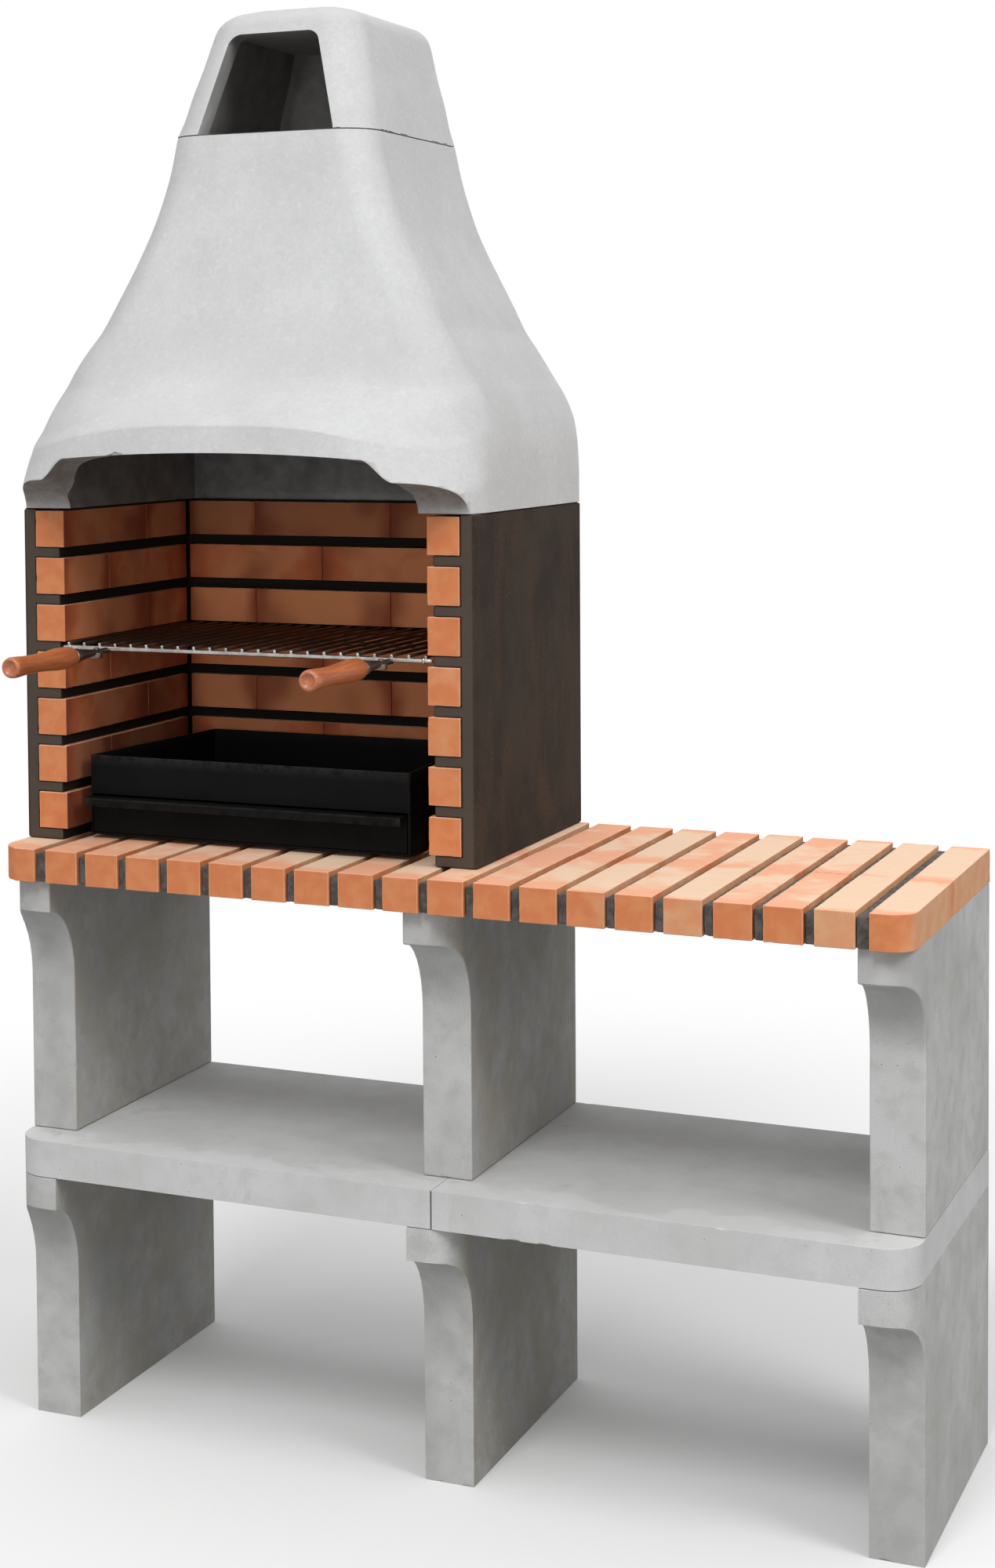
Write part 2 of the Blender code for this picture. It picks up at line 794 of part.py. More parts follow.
def build_hood():
    """A bell that sweeps from a vertical visor band into a narrow neck.

    It stands on two pillars that cove forward into the visor's lower edge, and the visor is cut by an
    arch between them. The inside follows the outside at one shell's thickness.
    """
    stations = hood_stations()
    outer = []
    for z, half, front, corner in stations:
        outer.append(arched(bell_ring(half, front, back_y, corner, hood_rear_corner, z, 9, 6)))
    hood = loft("hood", outer, parts)

    inner_back = back_y - hood_back_shell
    chamber = hood_half - pillar_width
    inner = []
    for z, half, front, corner in stations:
        inner_half = min(chamber, half - hood_shell)
        inner_front = front + hood_shell
        tight = max(hood_inner_corner, (corner - hood_shell) / 2)
        rear_corner = hood_inner_corner / 2
        inner.append(arched(bell_ring(inner_half, inner_front, inner_back, tight, rear_corner, z, 5, 4)))
    foot = [(x, y, z - overrun) for x, y, z in inner[0]]
    neck = [(x, y, z + overrun) for x, y, z in inner[-1]]
    flue = loft("hood_flue", [foot] + inner[1:-1] + [neck], cutters)
    change(hood, flue)

    crown_z = hood_z + arch_crown_height
    shoulder_z = hood_z + arch_shoulder_height
    arch_shoulder_half = chamber - arch_haunch
    crown = []
    for step in range(-5, 6):
        share = step / 6
        crown.append((unit_x + share * arch_shoulder_half, mixed(share * share, crown_z, shoulder_z)))
    haunch = []
    for step in range(9):
        share = step / 8
        eased = share * share * (3 - 2 * share)
        haunch.append((chamber - share * arch_haunch, mixed(eased, lip_z, shoulder_z)))
    left_haunch = [(unit_x - x, z) for x, z in haunch]
    right_haunch = [(unit_x + x, z) for x, z in reversed(haunch)]
    foot_z = hood_z - overrun
    feet = [(unit_x + chamber, foot_z), (unit_x - chamber, foot_z)]
    arch_outline = left_haunch + crown + right_haunch + feet
    arch_back = visor_y + hood_shell + hood_inner_corner
    arch = prism("hood_arch", arch_outline, "Y", visor_y - overrun, arch_back, cutters)
    change(hood, arch)

    sweep = arc((visor_y, hood_z), (wall_front_y - visor_y, cavetto_height), 0, 90, 8)
    below = [(visor_y - overrun, lip_z), (visor_y - overrun, foot_z), (wall_front_y, foot_z)]
    cavetto_low = unit_x - hood_half - overrun
    cavetto_high = unit_x + hood_half + overrun
    cavetto = prism("hood_cavetto", sweep + below, "X", cavetto_low, cavetto_high, cutters)
    change(hood, cavetto)
    give(hood, "render_coat")


def build_cap():
    """The chimney cap: a tapering box with a rounded top and an open front."""
    top_y = front_y + cap_top_setback
    outer = []
    inner = []
    inner_top = cap_height - cap_roof
    inner_back = back_y - cap_shell
    for height_share, width_share, front_share, corner_share in cap_station_shares:
        z = cap_z + height_share * cap_height
        half = mixed(width_share, cap_top_half, neck_half_width)
        front = mixed(front_share, top_y, neck_y)
        corner = mixed(corner_share, cap_top_corner, neck_corner)
        outer.append(bell_ring(half, front, back_y, corner, hood_rear_corner, z, 7))
        if height_share * cap_height < inner_top:
            inner.append((z, half - cap_shell, front + cap_shell))
    cap = loft("chimney_cap", outer, parts)

    last_half, last_front = inner[-1][1:]
    inner.append((cap_z + inner_top, last_half, last_front))
    inner[0] = (cap_z - overrun, inner[0][1], inner[0][2])
    rings = []
    for z, half, front in inner:
        rings.append(bell_ring(half, front, inner_back, cap_inner_corner, cap_inner_corner / 2, z, 4))
    change(cap, loft("cap_flue", rings, cutters))

    base_z = cap_z - overrun
    top_z = cap_z + mouth_height
    lean = math.degrees(math.atan2(mouth_base_half - mouth_top_half, mouth_height))
    centre_half = mouth_top_half - mouth_corner
    shift = mouth_corner * (1 - math.cos(math.radians(lean)) + math.sin(math.radians(lean)))
    centre = (unit_x + centre_half + shift, top_z - mouth_corner)
    right_side = [(unit_x + mouth_base_half, base_z)]
    right_side += arc(centre, (mouth_corner, mouth_corner), lean, 90, 5)
    left_side = [(2 * unit_x - x, z) for x, z in reversed(right_side)]
    mouth = prism("cap_mouth", right_side + left_side, "Y", neck_y - overrun, top_y + cap_shell, cutters)
    change(cap, mouth)
    give(cap, "render_coat")


def build_grill():
    """Bars welded across three wires whose ends run in the groove, with two shanks for the grips."""
    wire_half = chamber_half + groove_depth - cross_side_gap
    crosses = []
    for y in (grill_front_y, grill_front_y + grill_depth / 2, grill_rear_y):
        ends = [(unit_x - wire_half, y, cross_z), (unit_x + wire_half, y, cross_z)]
        crosses.append(tube("cross", ends, [cross_diameter / 2] * 2, 2, parts))
    grill = join("grill", crosses, parts)

    lines = []
    for number in range(bar_spaces + 1):
        x = unit_x - bar_span / 2 + number * bar_span / bar_spaces
        ends = [(x, grill_front_y - bar_tip, bar_z), (x, grill_rear_y + bar_tip, bar_z)]
        lines.append(tube("bar", ends, [bar_diameter / 2] * 2, 2, cutters))
    change(grill, join("grill_bars", lines, cutters), "UNION")

    shank_end = grill_front_y - shank_length
    ferrule_end = shank_end + ferrule_length
    shank_diameters = [
        (grill_front_y + cross_diameter / 2 + weld_sink, shank_diameter),
        (grill_front_y - clamp_from_wire, shank_diameter),
        (ferrule_end + seat_gap, shank_end_diameter),
        (ferrule_end, ferrule_diameter),
        (shank_end, ferrule_diameter),
        (shank_end - seat_gap, tang_diameter),
        (shank_end - tang_length, tang_diameter),
    ]
    shanks = []
    clamps = []
    for x in shank_x.values():
        places = [(x, y, shank_z) for y, _ in shank_diameters]
        shanks.append(tube("shank", places, [d / 2 for _, d in shank_diameters], 3, cutters))
        centre = (x, grill_front_y - clamp_from_wire, shank_z - shank_diameter / 2)
        clamps.append(disc("clamp", centre, clamp_diameter, clamp_height, 16, cutters))
    change(grill, join("grill_shanks", shanks, cutters), "UNION")
    change(grill, join("grill_clamps", clamps, cutters), "UNION")
    give(grill, "chromed_wire")
    return grill


def build_grips(carrier):
    """Turned wooden grips with a bore for the shank's tang and a dimple in the free end."""
    bore = (tang_diameter + tang_play) / 2
    depth = tang_length + seat_gap
    for side, x in shank_x.items():
        profile = [(0, -depth), (bore, -depth), (bore, 0)]
        for along_share, radius_share in grip_profile_shares:
            profile.append((radius_share * grip_diameter, -along_share * grip_length))
        dimple = grip_dimple_share * grip_length
        profile.append((grip_profile_shares[-1][1] * grip_diameter / 2, -grip_length + dimple / 2))
        profile.append((0, -grip_length + dimple))
        mesh = bpy.data.meshes.new("grip_" + side)
        edges = [(i, i + 1) for i in range(len(profile) - 1)]
        mesh.from_pydata([(radius, 0, along) for radius, along in profile], edges, [])
        grip = place("grip_" + side, mesh, parts)
        turn = grip.modifiers.new("turned", "SCREW")
        turn.steps = 16
        turn.render_steps = 16
        turn.use_merge_vertices = True
        turn.merge_threshold = weld_distance
        turn.use_normal_calculate = True
        grip.rotation_euler = (math.radians(-90), 0, 0)
        start = grill_front_y - shank_length - 2 * seat_gap
        grip.location = (x, start, shank_z)
        give(grip, "varnished_wood")
        attach(grip, carrier)


def attach(obj, carrier):
    bpy.context.view_layer.update()
    obj.parent = carrier
    obj.matrix_parent_inverse = carrier.matrix_world.inverted()


def pan_plan(inset, front, rear, rear_play):
    """Plan of the tapered pan, drawn in from its walls."""
    def half_at(y):
        share = (y - pan_front_y) / pan_depth
        return mixed(share, pan_front_half, pan_rear_half) - inset

    rear = rear - rear_play
    return [
        (pan_x - half_at(front), front),
        (pan_x + half_at(front), front),
        (pan_x + half_at(rear), rear),
        (pan_x - half_at(rear), rear),
    ]


def build_ember_pan():
    """A tapered sheet casing: a coal box with a slotted floor over a bay for the ash drawer."""
    base_z = pan_z + pan_foot_height
    rim_z = pan_z + pan_height
    coal_z = rim_z - coal_depth
    pan = prism("ember_pan", pan_plan(0, pan_front_y, pan_rear_y, 0), "Z", base_z, rim_z, parts)

    coal_plan = pan_plan(pan_sheet, pan_front_y + pan_sheet, pan_rear_y, pan_sheet)
    change(pan, prism("pan_coal", coal_plan, "Z", coal_z, rim_z + overrun, cutters))

    bay_plan = pan_plan(pan_sheet, pan_front_y - overrun, pan_rear_y, pan_sheet)
    bay_top = coal_z - pan_sheet
    change(pan, prism("pan_bay", bay_plan, "Z", base_z + pan_sheet, bay_top, cutters))

    cuts = []
    slot_middle = pan_front_y + pan_depth / 2
    slot_pitch = 2 * pan_rear_half / (slots + 1)
    for number in range(slots):
        x = pan_x + (number - (slots - 1) / 2) * slot_pitch
        cuts.append(
            box(
                "slot",
                (x - slot_width / 2, slot_middle - slot_length / 2, bay_top - pan_sheet),
                (x + slot_width / 2, slot_middle + slot_length / 2, coal_z + pan_sheet),
                cutters,
            )
        )
    change(pan, join("pan_slots", cuts, cutters))

    feet = []
    foot_height = pan_foot_height + pan_sheet / 2
    for sign in (-1, 1):
        for y, half in (
            (pan_front_y + pan_foot_inset, pan_front_half - pan_foot_inset),
            (pan_rear_y - pan_foot_inset, pan_rear_half - pan_foot_inset),
        ):
            centre = (pan_x + sign * half, y, pan_z + foot_height / 2)
            feet.append(disc("foot", centre, pan_foot_diameter, foot_height, 12, cutters))
    change(pan, join("pan_feet", feet, cutters), "UNION")
    give(pan, "black_sheet")
    return pan


def build_ash_drawer(carrier):
    """A tapered sheet drawer, with a folded lip along the top of its front as its pull."""
    base_z = pan_z + pan_foot_height + pan_sheet + seat_gap
    top_z = base_z + drawer_height
    inset = pan_sheet + drawer_play
    plan = pan_plan(inset, pan_front_y, pan_rear_y, drawer_rear_play)
    drawer = prism("ash_drawer", plan, "Z", base_z, top_z, parts)
    lip_left, lip_right = plan[0][0], plan[1][0]
    lip = [
        (pan_front_y + drawer_sheet / 2, top_z),
        (pan_front_y - lip_reach, top_z),
        (pan_front_y - lip_reach, top_z - lip_height),
        (pan_front_y - lip_reach + drawer_sheet, top_z - lip_height),
        (pan_front_y - lip_reach + drawer_sheet, top_z - drawer_sheet),
        (pan_front_y + drawer_sheet / 2, top_z - drawer_sheet),
    ]
    change(drawer, prism("drawer_lip", lip, "X", lip_left, lip_right, cutters), "UNION")
    inner_play = drawer_rear_play + drawer_sheet
    inner = pan_plan(inset + drawer_sheet, pan_front_y + drawer_sheet, pan_rear_y, inner_play)
    change(drawer, prism("drawer_inside", inner, "Z", base_z + drawer_sheet, top_z + overrun, cutters))
    give(drawer, "black_sheet")
    attach(drawer, carrier)


build_legs()
build_shelf()
build_worktop()
build_side_wall("left")
build_back_wall()
build_side_wall("right")
build_hood()
build_cap()
build_grips(build_grill())
build_ash_drawer(build_ember_pan())
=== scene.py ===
"""Looks of the outdoor masonry barbecue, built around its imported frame.

Every length is in metres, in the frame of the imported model: +X to the right, +Y to the back, +Z up.
"""

import json
import math
import random

import bmesh
import bpy
import numpy as np
from mathutils import Matrix, Vector, noise


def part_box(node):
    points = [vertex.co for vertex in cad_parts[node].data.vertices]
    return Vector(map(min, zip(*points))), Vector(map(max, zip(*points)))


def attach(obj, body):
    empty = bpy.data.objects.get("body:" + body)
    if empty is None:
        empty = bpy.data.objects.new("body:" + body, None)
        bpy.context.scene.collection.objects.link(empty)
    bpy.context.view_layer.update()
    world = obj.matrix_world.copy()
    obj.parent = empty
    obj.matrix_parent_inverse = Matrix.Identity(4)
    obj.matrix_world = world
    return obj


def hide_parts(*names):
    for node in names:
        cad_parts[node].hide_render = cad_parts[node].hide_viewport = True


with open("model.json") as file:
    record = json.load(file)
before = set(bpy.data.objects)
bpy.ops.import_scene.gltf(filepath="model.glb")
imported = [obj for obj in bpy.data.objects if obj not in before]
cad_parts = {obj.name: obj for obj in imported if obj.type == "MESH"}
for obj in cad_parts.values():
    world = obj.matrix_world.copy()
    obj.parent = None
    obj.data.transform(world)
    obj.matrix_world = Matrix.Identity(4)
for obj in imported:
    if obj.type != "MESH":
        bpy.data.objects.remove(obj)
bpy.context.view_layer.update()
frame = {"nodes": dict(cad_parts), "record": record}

# The photograph's height in pixels, and the camera solved from the brick pattern in it
photo_height = 2000
camera_yaw = math.radians(22.476)
camera_pitch = math.radians(2.585)
camera_roll = math.radians(-0.337)
camera_place = (1.27279, -3.03902, 1.41914)
camera_focal_pixels = 3138.18
camera_drop_pixels = 354.83
sensor_width = 36

# The bricks and their joints, how far rows and tones drift, and where each wall's inside faces
brick_length = 0.220
butt_joint = 0.0012
brick_arris = 0.0009
left_row_corner = 0.040
right_row_corner = 0.029
seat_gap = 0.0003
bed_thickness = 0.012
bed_inset = 0.030
row_drift = 0.0006
row_sink = 0.0008
back_brick_tones = (-0.15, 0.25)
course_tone_drift = 0.1
arris_reach = 1.7
seed_reach = 37.0
inward = {"left": (1, 0, 0), "right": (-1, 0, 0), "back": (0, -1, 0)}

# Sizes of the hood and its cap that their boxes don't give
visor_corner = 0.170
neck_corner = 0.050
rear_corner = 0.006
hood_shell = 0.030
hood_back_shell = 0.028
pillar_width = 0.079
cavetto_height = 0.043
arch_crown_height = 0.080
arch_shoulder_height = 0.072
arch_haunch = 0.044
inner_haunches = ((0.090, 0.043), (0.070, 0.072))
haunch_end = 0.2
haunch_fade = 0.3
flue_corner = 0.025
flue_rear_corner = 0.0125
flue_axis_setback = 0.15
soot_fade = 0.012
cove_depth_share = 0.012
cove_end = 0.150
brow_drop = 0.025
brow_half = 0.234
brow_fade = 0.254
brow_share = 0.226
brow_levels = (0.2285, 0.236)
visor_overhang = 0.012
wall_setback = 0.0735
open_joint = 0.0012
joint_setback = 0.0030
slab_joint_half = 0.0010
leg_joint = 0.0011
leg_bed_setback = 0.048
rear_bed_setback = 0.08
bed_cells = (0.01, 0.01, 0.001)
rib_cells = (0.0035, 0.0035, 0.010)
cap_top_half = 0.070
cap_top_setback = 0.240
cap_top_corner = 0.030
cap_flue = (0.029, 0.022, 0.011)
cap_roof = 0.036
cap_axis_setback = 0.09
cap_clean_rim = 0.004
mouth_halves = ((0.105, 0.068), (0.112, 0.058))
mouth_height = 0.140
mouth_corner = 0.020

# Sizes of the grill, its grips and the pans
bars = 23
bar_diameter = 0.005
bar_side_gap = 0.0036
bar_tip = 0.003
cross_diameter = 0.0065
weld_sink = 0.0006
grill_setback = 0.078
grill_depth = 0.328
shank_length = 0.0885
shank_diameter = 0.008
shank_end_diameter = 0.017
ferrule_length = 0.012
ferrule_diameter = 0.021
clamp_diameter = 0.017
clamp_height = 0.008
clamp_from_wire = 0.029
pan_taper = 0.033
pan_sheet = 0.0025
pan_foot_height = 0.005
pan_foot_diameter = 0.024
pan_foot_inset = 0.035
coal_depth = 0.051
slots = 11
slot_width = 0.008
slot_length = 0.200
drawer_sheet = 0.002
lip_height = 0.013
lip_bend = 0.0022
sheet_bend = 0.004
sheet_sink = 0.0005
# How far the rubbed wear and painted highlight reach from the pan's folds and the drawer's lip
sheet_rub_and_highlight = 0.0022
lip_rub_and_highlight = 0.0018
pan_rim = 0.0014
drawer_rim = 0.001
weld_length = 0.0044
weld_drift = 0.0006
weld_radius = 0.0024
weld_edge = 0.0019
weld_bite = 0.0003
bright_front = 0.004
browned_and_reflecting_fade = 0.006
bright_ferrule = 0.003
ferrule_fade = 0.004
shank_browned_and_reflecting_share = 0.85
bar_waver = 0.0004
cross_waver = 0.0001
stop_inset = 0.012
stop_length = 0.004
stop_radius = 0.0048
stop_edge = 0.0018
nut_size = 0.0042
nut_edge = 0.0014
nut_lift = 0.002
clamp_edge = 0.0016
foot_edge = 0.0012
grip_bore = 0.0045
grip_dish = 0.0042
grip_dent = 0.00018

# Widths of rounded arrises, angles from which an edge counts as one, and how far the cutting tools overrun
leg_arris = 0.0022
slab_arris = 0.0026
panel_arris = 0.0024
hood_arris = 0.0018
cap_arris = 0.0030
bevel_degrees = 31
sharp_degrees = 50
lip_sharp_degrees = 60
same_point = 0.00001
end_reach = 0.0001
overrun = 0.02
tool_overrun = 0.01

# How buff each worktop row fires, from the left, and each course, from the top; how much soot and painted
# shade each course takes
row_buff_shares = [0.30, 0.10, 0.00, 0.34, 0.16, 0.26, 0.38, 0.50, 0.12, 0.42]
row_buff_shares += [0.32, 0.08, 0.25, 0.60, 0.25, 0.66, 0.25, 0.18, 0.86, 0.58]
course_buff_shares = {
    "left": [0.10, 0.25, 0.20, 0.10, 0.15, 0.20, 0.05],
    "back": [0.45, 0.25, 0.60, 0.30, 0.60, 0.30, 0.30],
    "right": [0.05, 0.55, 0.20, 0.60, 0.45, 0.30, 0.15],
}
course_smoke_and_shade_shares = {
    "left": [0.22, 0.08, 0.05, 0.18, 0.42, 0.66, 0.72],
    "back": [0.56, 0.18, 0.00, 0.05, 0.15, 0.30, 0.40],
    "right": [0.22, 0.08, 0.05, 0.16, 0.35, 0.55, 0.62],
}

# How much soot and painted shade the panels take inside, and how mossy and damp each leg is
panel_smoke_and_shade_share = 0.97
mossy_shares = {"left": 0.75, "middle": 1.0, "right": 0.15}

# Random seeds: of each builder, of the vector noise, and the first one of each kind of piece
seeds = {"rows": 11, "courses": 23, "hood": 41, "cap": 45, "welds": 5, "wavers": 17}
seeds.update({"left": 3000, "right": 4000, "back": 5000, "rib": 7000, "row_bed": 7100})
seeds.update({"foot_bed": 7200, "leg_bed": 7210, "leg": 600, "slab": 640, "panel": 660, "sheet": 1})
seeds.update({"visor_chip": 400, "hood_side_chip": 420, "hood_foot_chip": 440})
seeds.update({"cap_side_chip": 450, "cap_foot_chip": 470, "cast_chip": 1000, "bar": 20, "grip": 70})

# Noise per metre for a block's chips, grain and sway, and the noise from which a chip starts
chip_noise = 110
grain_noise = 160
sway_noise = 25
chip_threshold = 0.18

# Chips in the cast pieces: how far outside the arris they centre, their depths, and the edges that take them
chip_lift = 0.0012
cast_chip_depths = (0.0016, 0.0032)
chip_edge_angle = 1.0
chip_edge_length = 0.05
leg_chips = 9
slab_chips = 12
panel_chips = 14

# Chips at random places along the right foot of the hood and of the cap
hood_side_chips = 12
cap_side_chips = 11
side_chip_lift = 0.0008
foot_chip_lift = 0.0006
chip_depth = 0.0022
cap_chip_depth = 0.0025
hood_chip_height = 0.0020
cap_chip_height = 0.0018
hood_chip_lengths = (0.004, 0.014)
cap_chip_lengths = (0.004, 0.012)

# Chips in the hood's foot and the cap's: place along x, and length
foot_chips = [(-0.600, 0.007), (-0.575, 0.004), (0.010, 0.006), (0.034, 0.008)]
cap_chips = [(-0.410, 0.006), (-0.385, 0.003), (-0.180, 0.005), (-0.215, 0.008)]

# Chips in the visor's lower edge: place along x, height over the lip, and length
hood_chips = [
    (-0.436, 0.0325, 0.007),
    (-0.427, 0.0345, 0.010),
    (-0.414, 0.0350, 0.006),
    (-0.500, 0.0280, 0.004),
    (-0.180, 0.0340, 0.003),
]

# Turned grip: place along the grip from its ferrule end and radius, as shares of its length and diameter
grip_profile_shares = [
    (0.000, 0.320),
    (0.012, 0.400),
    (0.060, 0.465),
    (0.140, 0.498),
    (0.240, 0.500),
    (0.360, 0.465),
    (0.500, 0.425),
    (0.640, 0.410),
    (0.780, 0.425),
    (0.880, 0.455),
    (0.940, 0.470),
    (0.975, 0.455),
    (0.994, 0.400),
    (1.000, 0.330),
]

# The hood's outline from foot to neck: height share, then shares from neck to foot for the half width, the
# front and the plan corner. The cap's is alike, from its base to its top.
hood_station_shares = [
    (0.000, 1.000, 1.000, 0.680),
    (0.040, 1.000, 1.000, 0.670),
    (0.085, 1.000, 1.000, 0.650),
    (0.120, 0.997, 1.000, 0.680),
    (0.155, 0.992, 1.000, 0.740),
    (0.190, 0.983, 1.000, 0.800),
    (0.226, 0.966, 1.000, 0.850),
    (0.231, 0.963, 0.987, 0.845),
    (0.252, 0.944, 0.865, 0.780),
    (0.281, 0.912, 0.712, 0.600),
    (0.311, 0.869, 0.570, 0.430),
    (0.344, 0.811, 0.450, 0.300),
    (0.386, 0.739, 0.350, 0.140),
    (0.429, 0.663, 0.265, 0.060),
    (0.478, 0.573, 0.185, 0.025),
    (0.543, 0.485, 0.123, 0.010),
    (0.628, 0.363, 0.080, 0.000),
    (0.695, 0.268, 0.064, 0.000),
    (0.764, 0.182, 0.046, 0.000),
    (0.835, 0.114, 0.022, 0.000),
    (0.909, 0.055, 0.006, 0.000),
    (1.000, 0.000, 0.000, 0.000),
]
cap_station_shares = [
    (0.000, 1.000, 1.000, 1.00),
    (0.150, 0.900, 0.906, 1.00),
    (0.316, 0.821, 0.803, 0.95),
    (0.582, 0.662, 0.638, 0.90),
    (0.785, 0.564, 0.506, 0.85),
    (0.850, 0.519, 0.461, 0.80),
    (0.910, 0.429, 0.379, 0.65),
    (0.960, 0.288, 0.252, 0.45),
    (1.000, 0.000, 0.000, 0.00),
]

# Area lamps: name, place, the point that they face, diameter and power in watts
lamps = [
    ("high_front", (0.3, -4.9, 7.0), (0, 0, 1.0), 2.5, 245),
    ("low_front", (0, -6.5, 1.7), (0, 0, 1.0), 3.0, 72),
    ("right", (5.9, -1.7, 5.4), (0, 0, 1.0), 3.0, 205),
]

nodes = frame["nodes"]

# Blender seeds its vector noise from the clock otherwise
noise.seed_set(seeds["wavers"])


def new_object(name, mesh):
    obj = bpy.data.objects.new(name, mesh)
    bpy.context.scene.collection.objects.link(obj)
    return obj


def object_from(name, work):
    """A new object with the shape of an edited mesh, which it uses up."""
    mesh = bpy.data.meshes.new(name)
    work.to_mesh(mesh)
    work.free()
    return new_object(name, mesh)


def seeded(seed):
    """A place in noise space of its own for each seed."""
    source = random.Random(seed)
    return Vector([source.uniform(-50, 50) for _ in range(3)])


def mixed(share, far, near):
    return far + share * (near - far)


def clamped(share):
    return max(0, min(1, share))


def eased(share):
    return share * share * (3 - 2 * share)


def middle_and_half(low, high):
    """The middle of a box along x, and half its width."""
    return (low[0] + high[0]) / 2, (high[0] - low[0]) / 2


def feed(tree, socket, value):
    """Link another node's socket to this one, or set its value."""
    if isinstance(value, bpy.types.NodeSocket):
        tree.links.new(value, socket)
    else:
        socket.default_value = value


def new_node(tree, kind, inputs=None, **settings):
    node = tree.nodes.new(kind)
    for key, value in settings.items():
        setattr(node, key, value)
    for key, value in (inputs or {}).items():
        feed(tree, node.inputs[key], value)
    return node


class Finish:
    """A material under construction. Each method adds nodes and returns the socket they feed."""

    def __init__(self, name, shader_shares):
        self.material = bpy.data.materials.new(name)
        self.material.use_nodes = True
        self.tree = self.material.node_tree
        self.shader = self.tree.nodes["Principled BSDF"]
        for key, share in shader_shares.items():
            self.shader.inputs[key].default_value = share
        self.place = self.add("ShaderNodeTexCoord").outputs["Object"]

    def add(self, kind, inputs=None, **settings):
        return new_node(self.tree, kind, inputs, **settings)

    def attribute(self, name):
        return self.add("ShaderNodeAttribute", attribute_name=name).outputs["Fac"]

    def shifted(self):
        """The object's coordinates, moved by the seed that each brick carries."""
        seed = self.attribute("seed")
        skewed = self.times(seed, 1.7)
        offset = self.add("ShaderNodeCombineXYZ", {0: seed, 1: skewed, 2: seed}).outputs[0]
        inputs = {0: offset, 1: (seed_reach,) * 3, 2: self.place}
        return self.add("ShaderNodeVectorMath", inputs, operation="MULTIPLY_ADD").outputs[0]

    def squeezed(self, *factors):
        """The object's coordinates scaled apart, so that a pattern runs long one way."""
        return self.add("ShaderNodeVectorMath", {0: self.place, 1: factors}, operation="MULTIPLY").outputs[0]

    def clouds(self, size, detail=3, roughness=0.55, place=None, distortion=0.0):
        """Noise whose features are about size across."""
        inputs = {
            "Vector": place or self.place,
            "Scale": 1 / size,
            "Detail": detail,
            "Roughness": roughness,
            "Distortion": distortion,
        }
        return self.add("ShaderNodeTexNoise", inputs).outputs["Fac"]

    def maths(self, operation, *values):
        return self.add("ShaderNodeMath", dict(enumerate(values)), operation=operation).outputs[0]

    def times(self, product, *values):
        for value in values:
            product = self.maths("MULTIPLY", product, value)
        return product

    def total(self, *terms):
        """The sum of terms, each of which is a value and its weight."""
        total = 0.0
        for value, weight in terms:
            total = self.maths("MULTIPLY_ADD", value, weight, total)
        return total

    def between(self, value, low, high, to_low=0.0, to_high=1.0):
        """The value's way from low to high, eased at both ends and clamped."""
        inputs = {"Value": value, "From Min": low, "From Max": high, "To Min": to_low, "To Max": to_high}
        return self.add("ShaderNodeMapRange", inputs, interpolation_type="SMOOTHSTEP").outputs["Result"]

    def mix(self, factor, first, second, blend="MIX"):
        node = self.add("ShaderNodeMix", data_type="RGBA", blend_type=blend, clamp_factor=True)
        for key, value in ((0, factor), (6, first), (7, second)):
            feed(self.tree, node.inputs[key], (*value, 1) if isinstance(value, tuple) else value)
        return node.outputs[2]

    def over(self, colour, tone, pattern, low, high, amount=1.0, least=0.0):
        """The colour under a tone that grows from least to amount where the pattern runs from low to high."""
        return self.mix(self.between(pattern, low, high, least, amount), colour, tone)

    def pits(self, size, low, high, patch, patch_low, patch_high, place=None):
        """Round pin holes that show only in some patches."""
        inputs = {"Vector": place or self.place, "Scale": 1 / size}
        cells = self.add("ShaderNodeTexVoronoi", inputs).outputs["Distance"]
        holes = self.between(cells, low, high, 1.0, 0.0)
        return self.times(holes, self.between(self.clouds(patch, 1, 0.5, place), patch_low, patch_high))

    def bump(self, height, distance, strength):
        inputs = {"Height": height, "Distance": distance, "Strength": strength}
        return self.add("ShaderNodeBump", inputs).outputs["Normal"]

    def facing(self, axis):
        """The part of the surface's direction that runs along X, Y or Z."""
        normal = self.add("ShaderNodeNewGeometry").outputs["Normal"]
        return self.add("ShaderNodeSeparateXYZ", {0: normal}).outputs[axis]

    def done(self, colour, normal=None, roughness=None):
        for key, value in (("Base Color", colour), ("Normal", normal), ("Roughness", roughness)):
            if value is not None:
                feed(self.tree, self.shader.inputs[key], value)
        return self.material


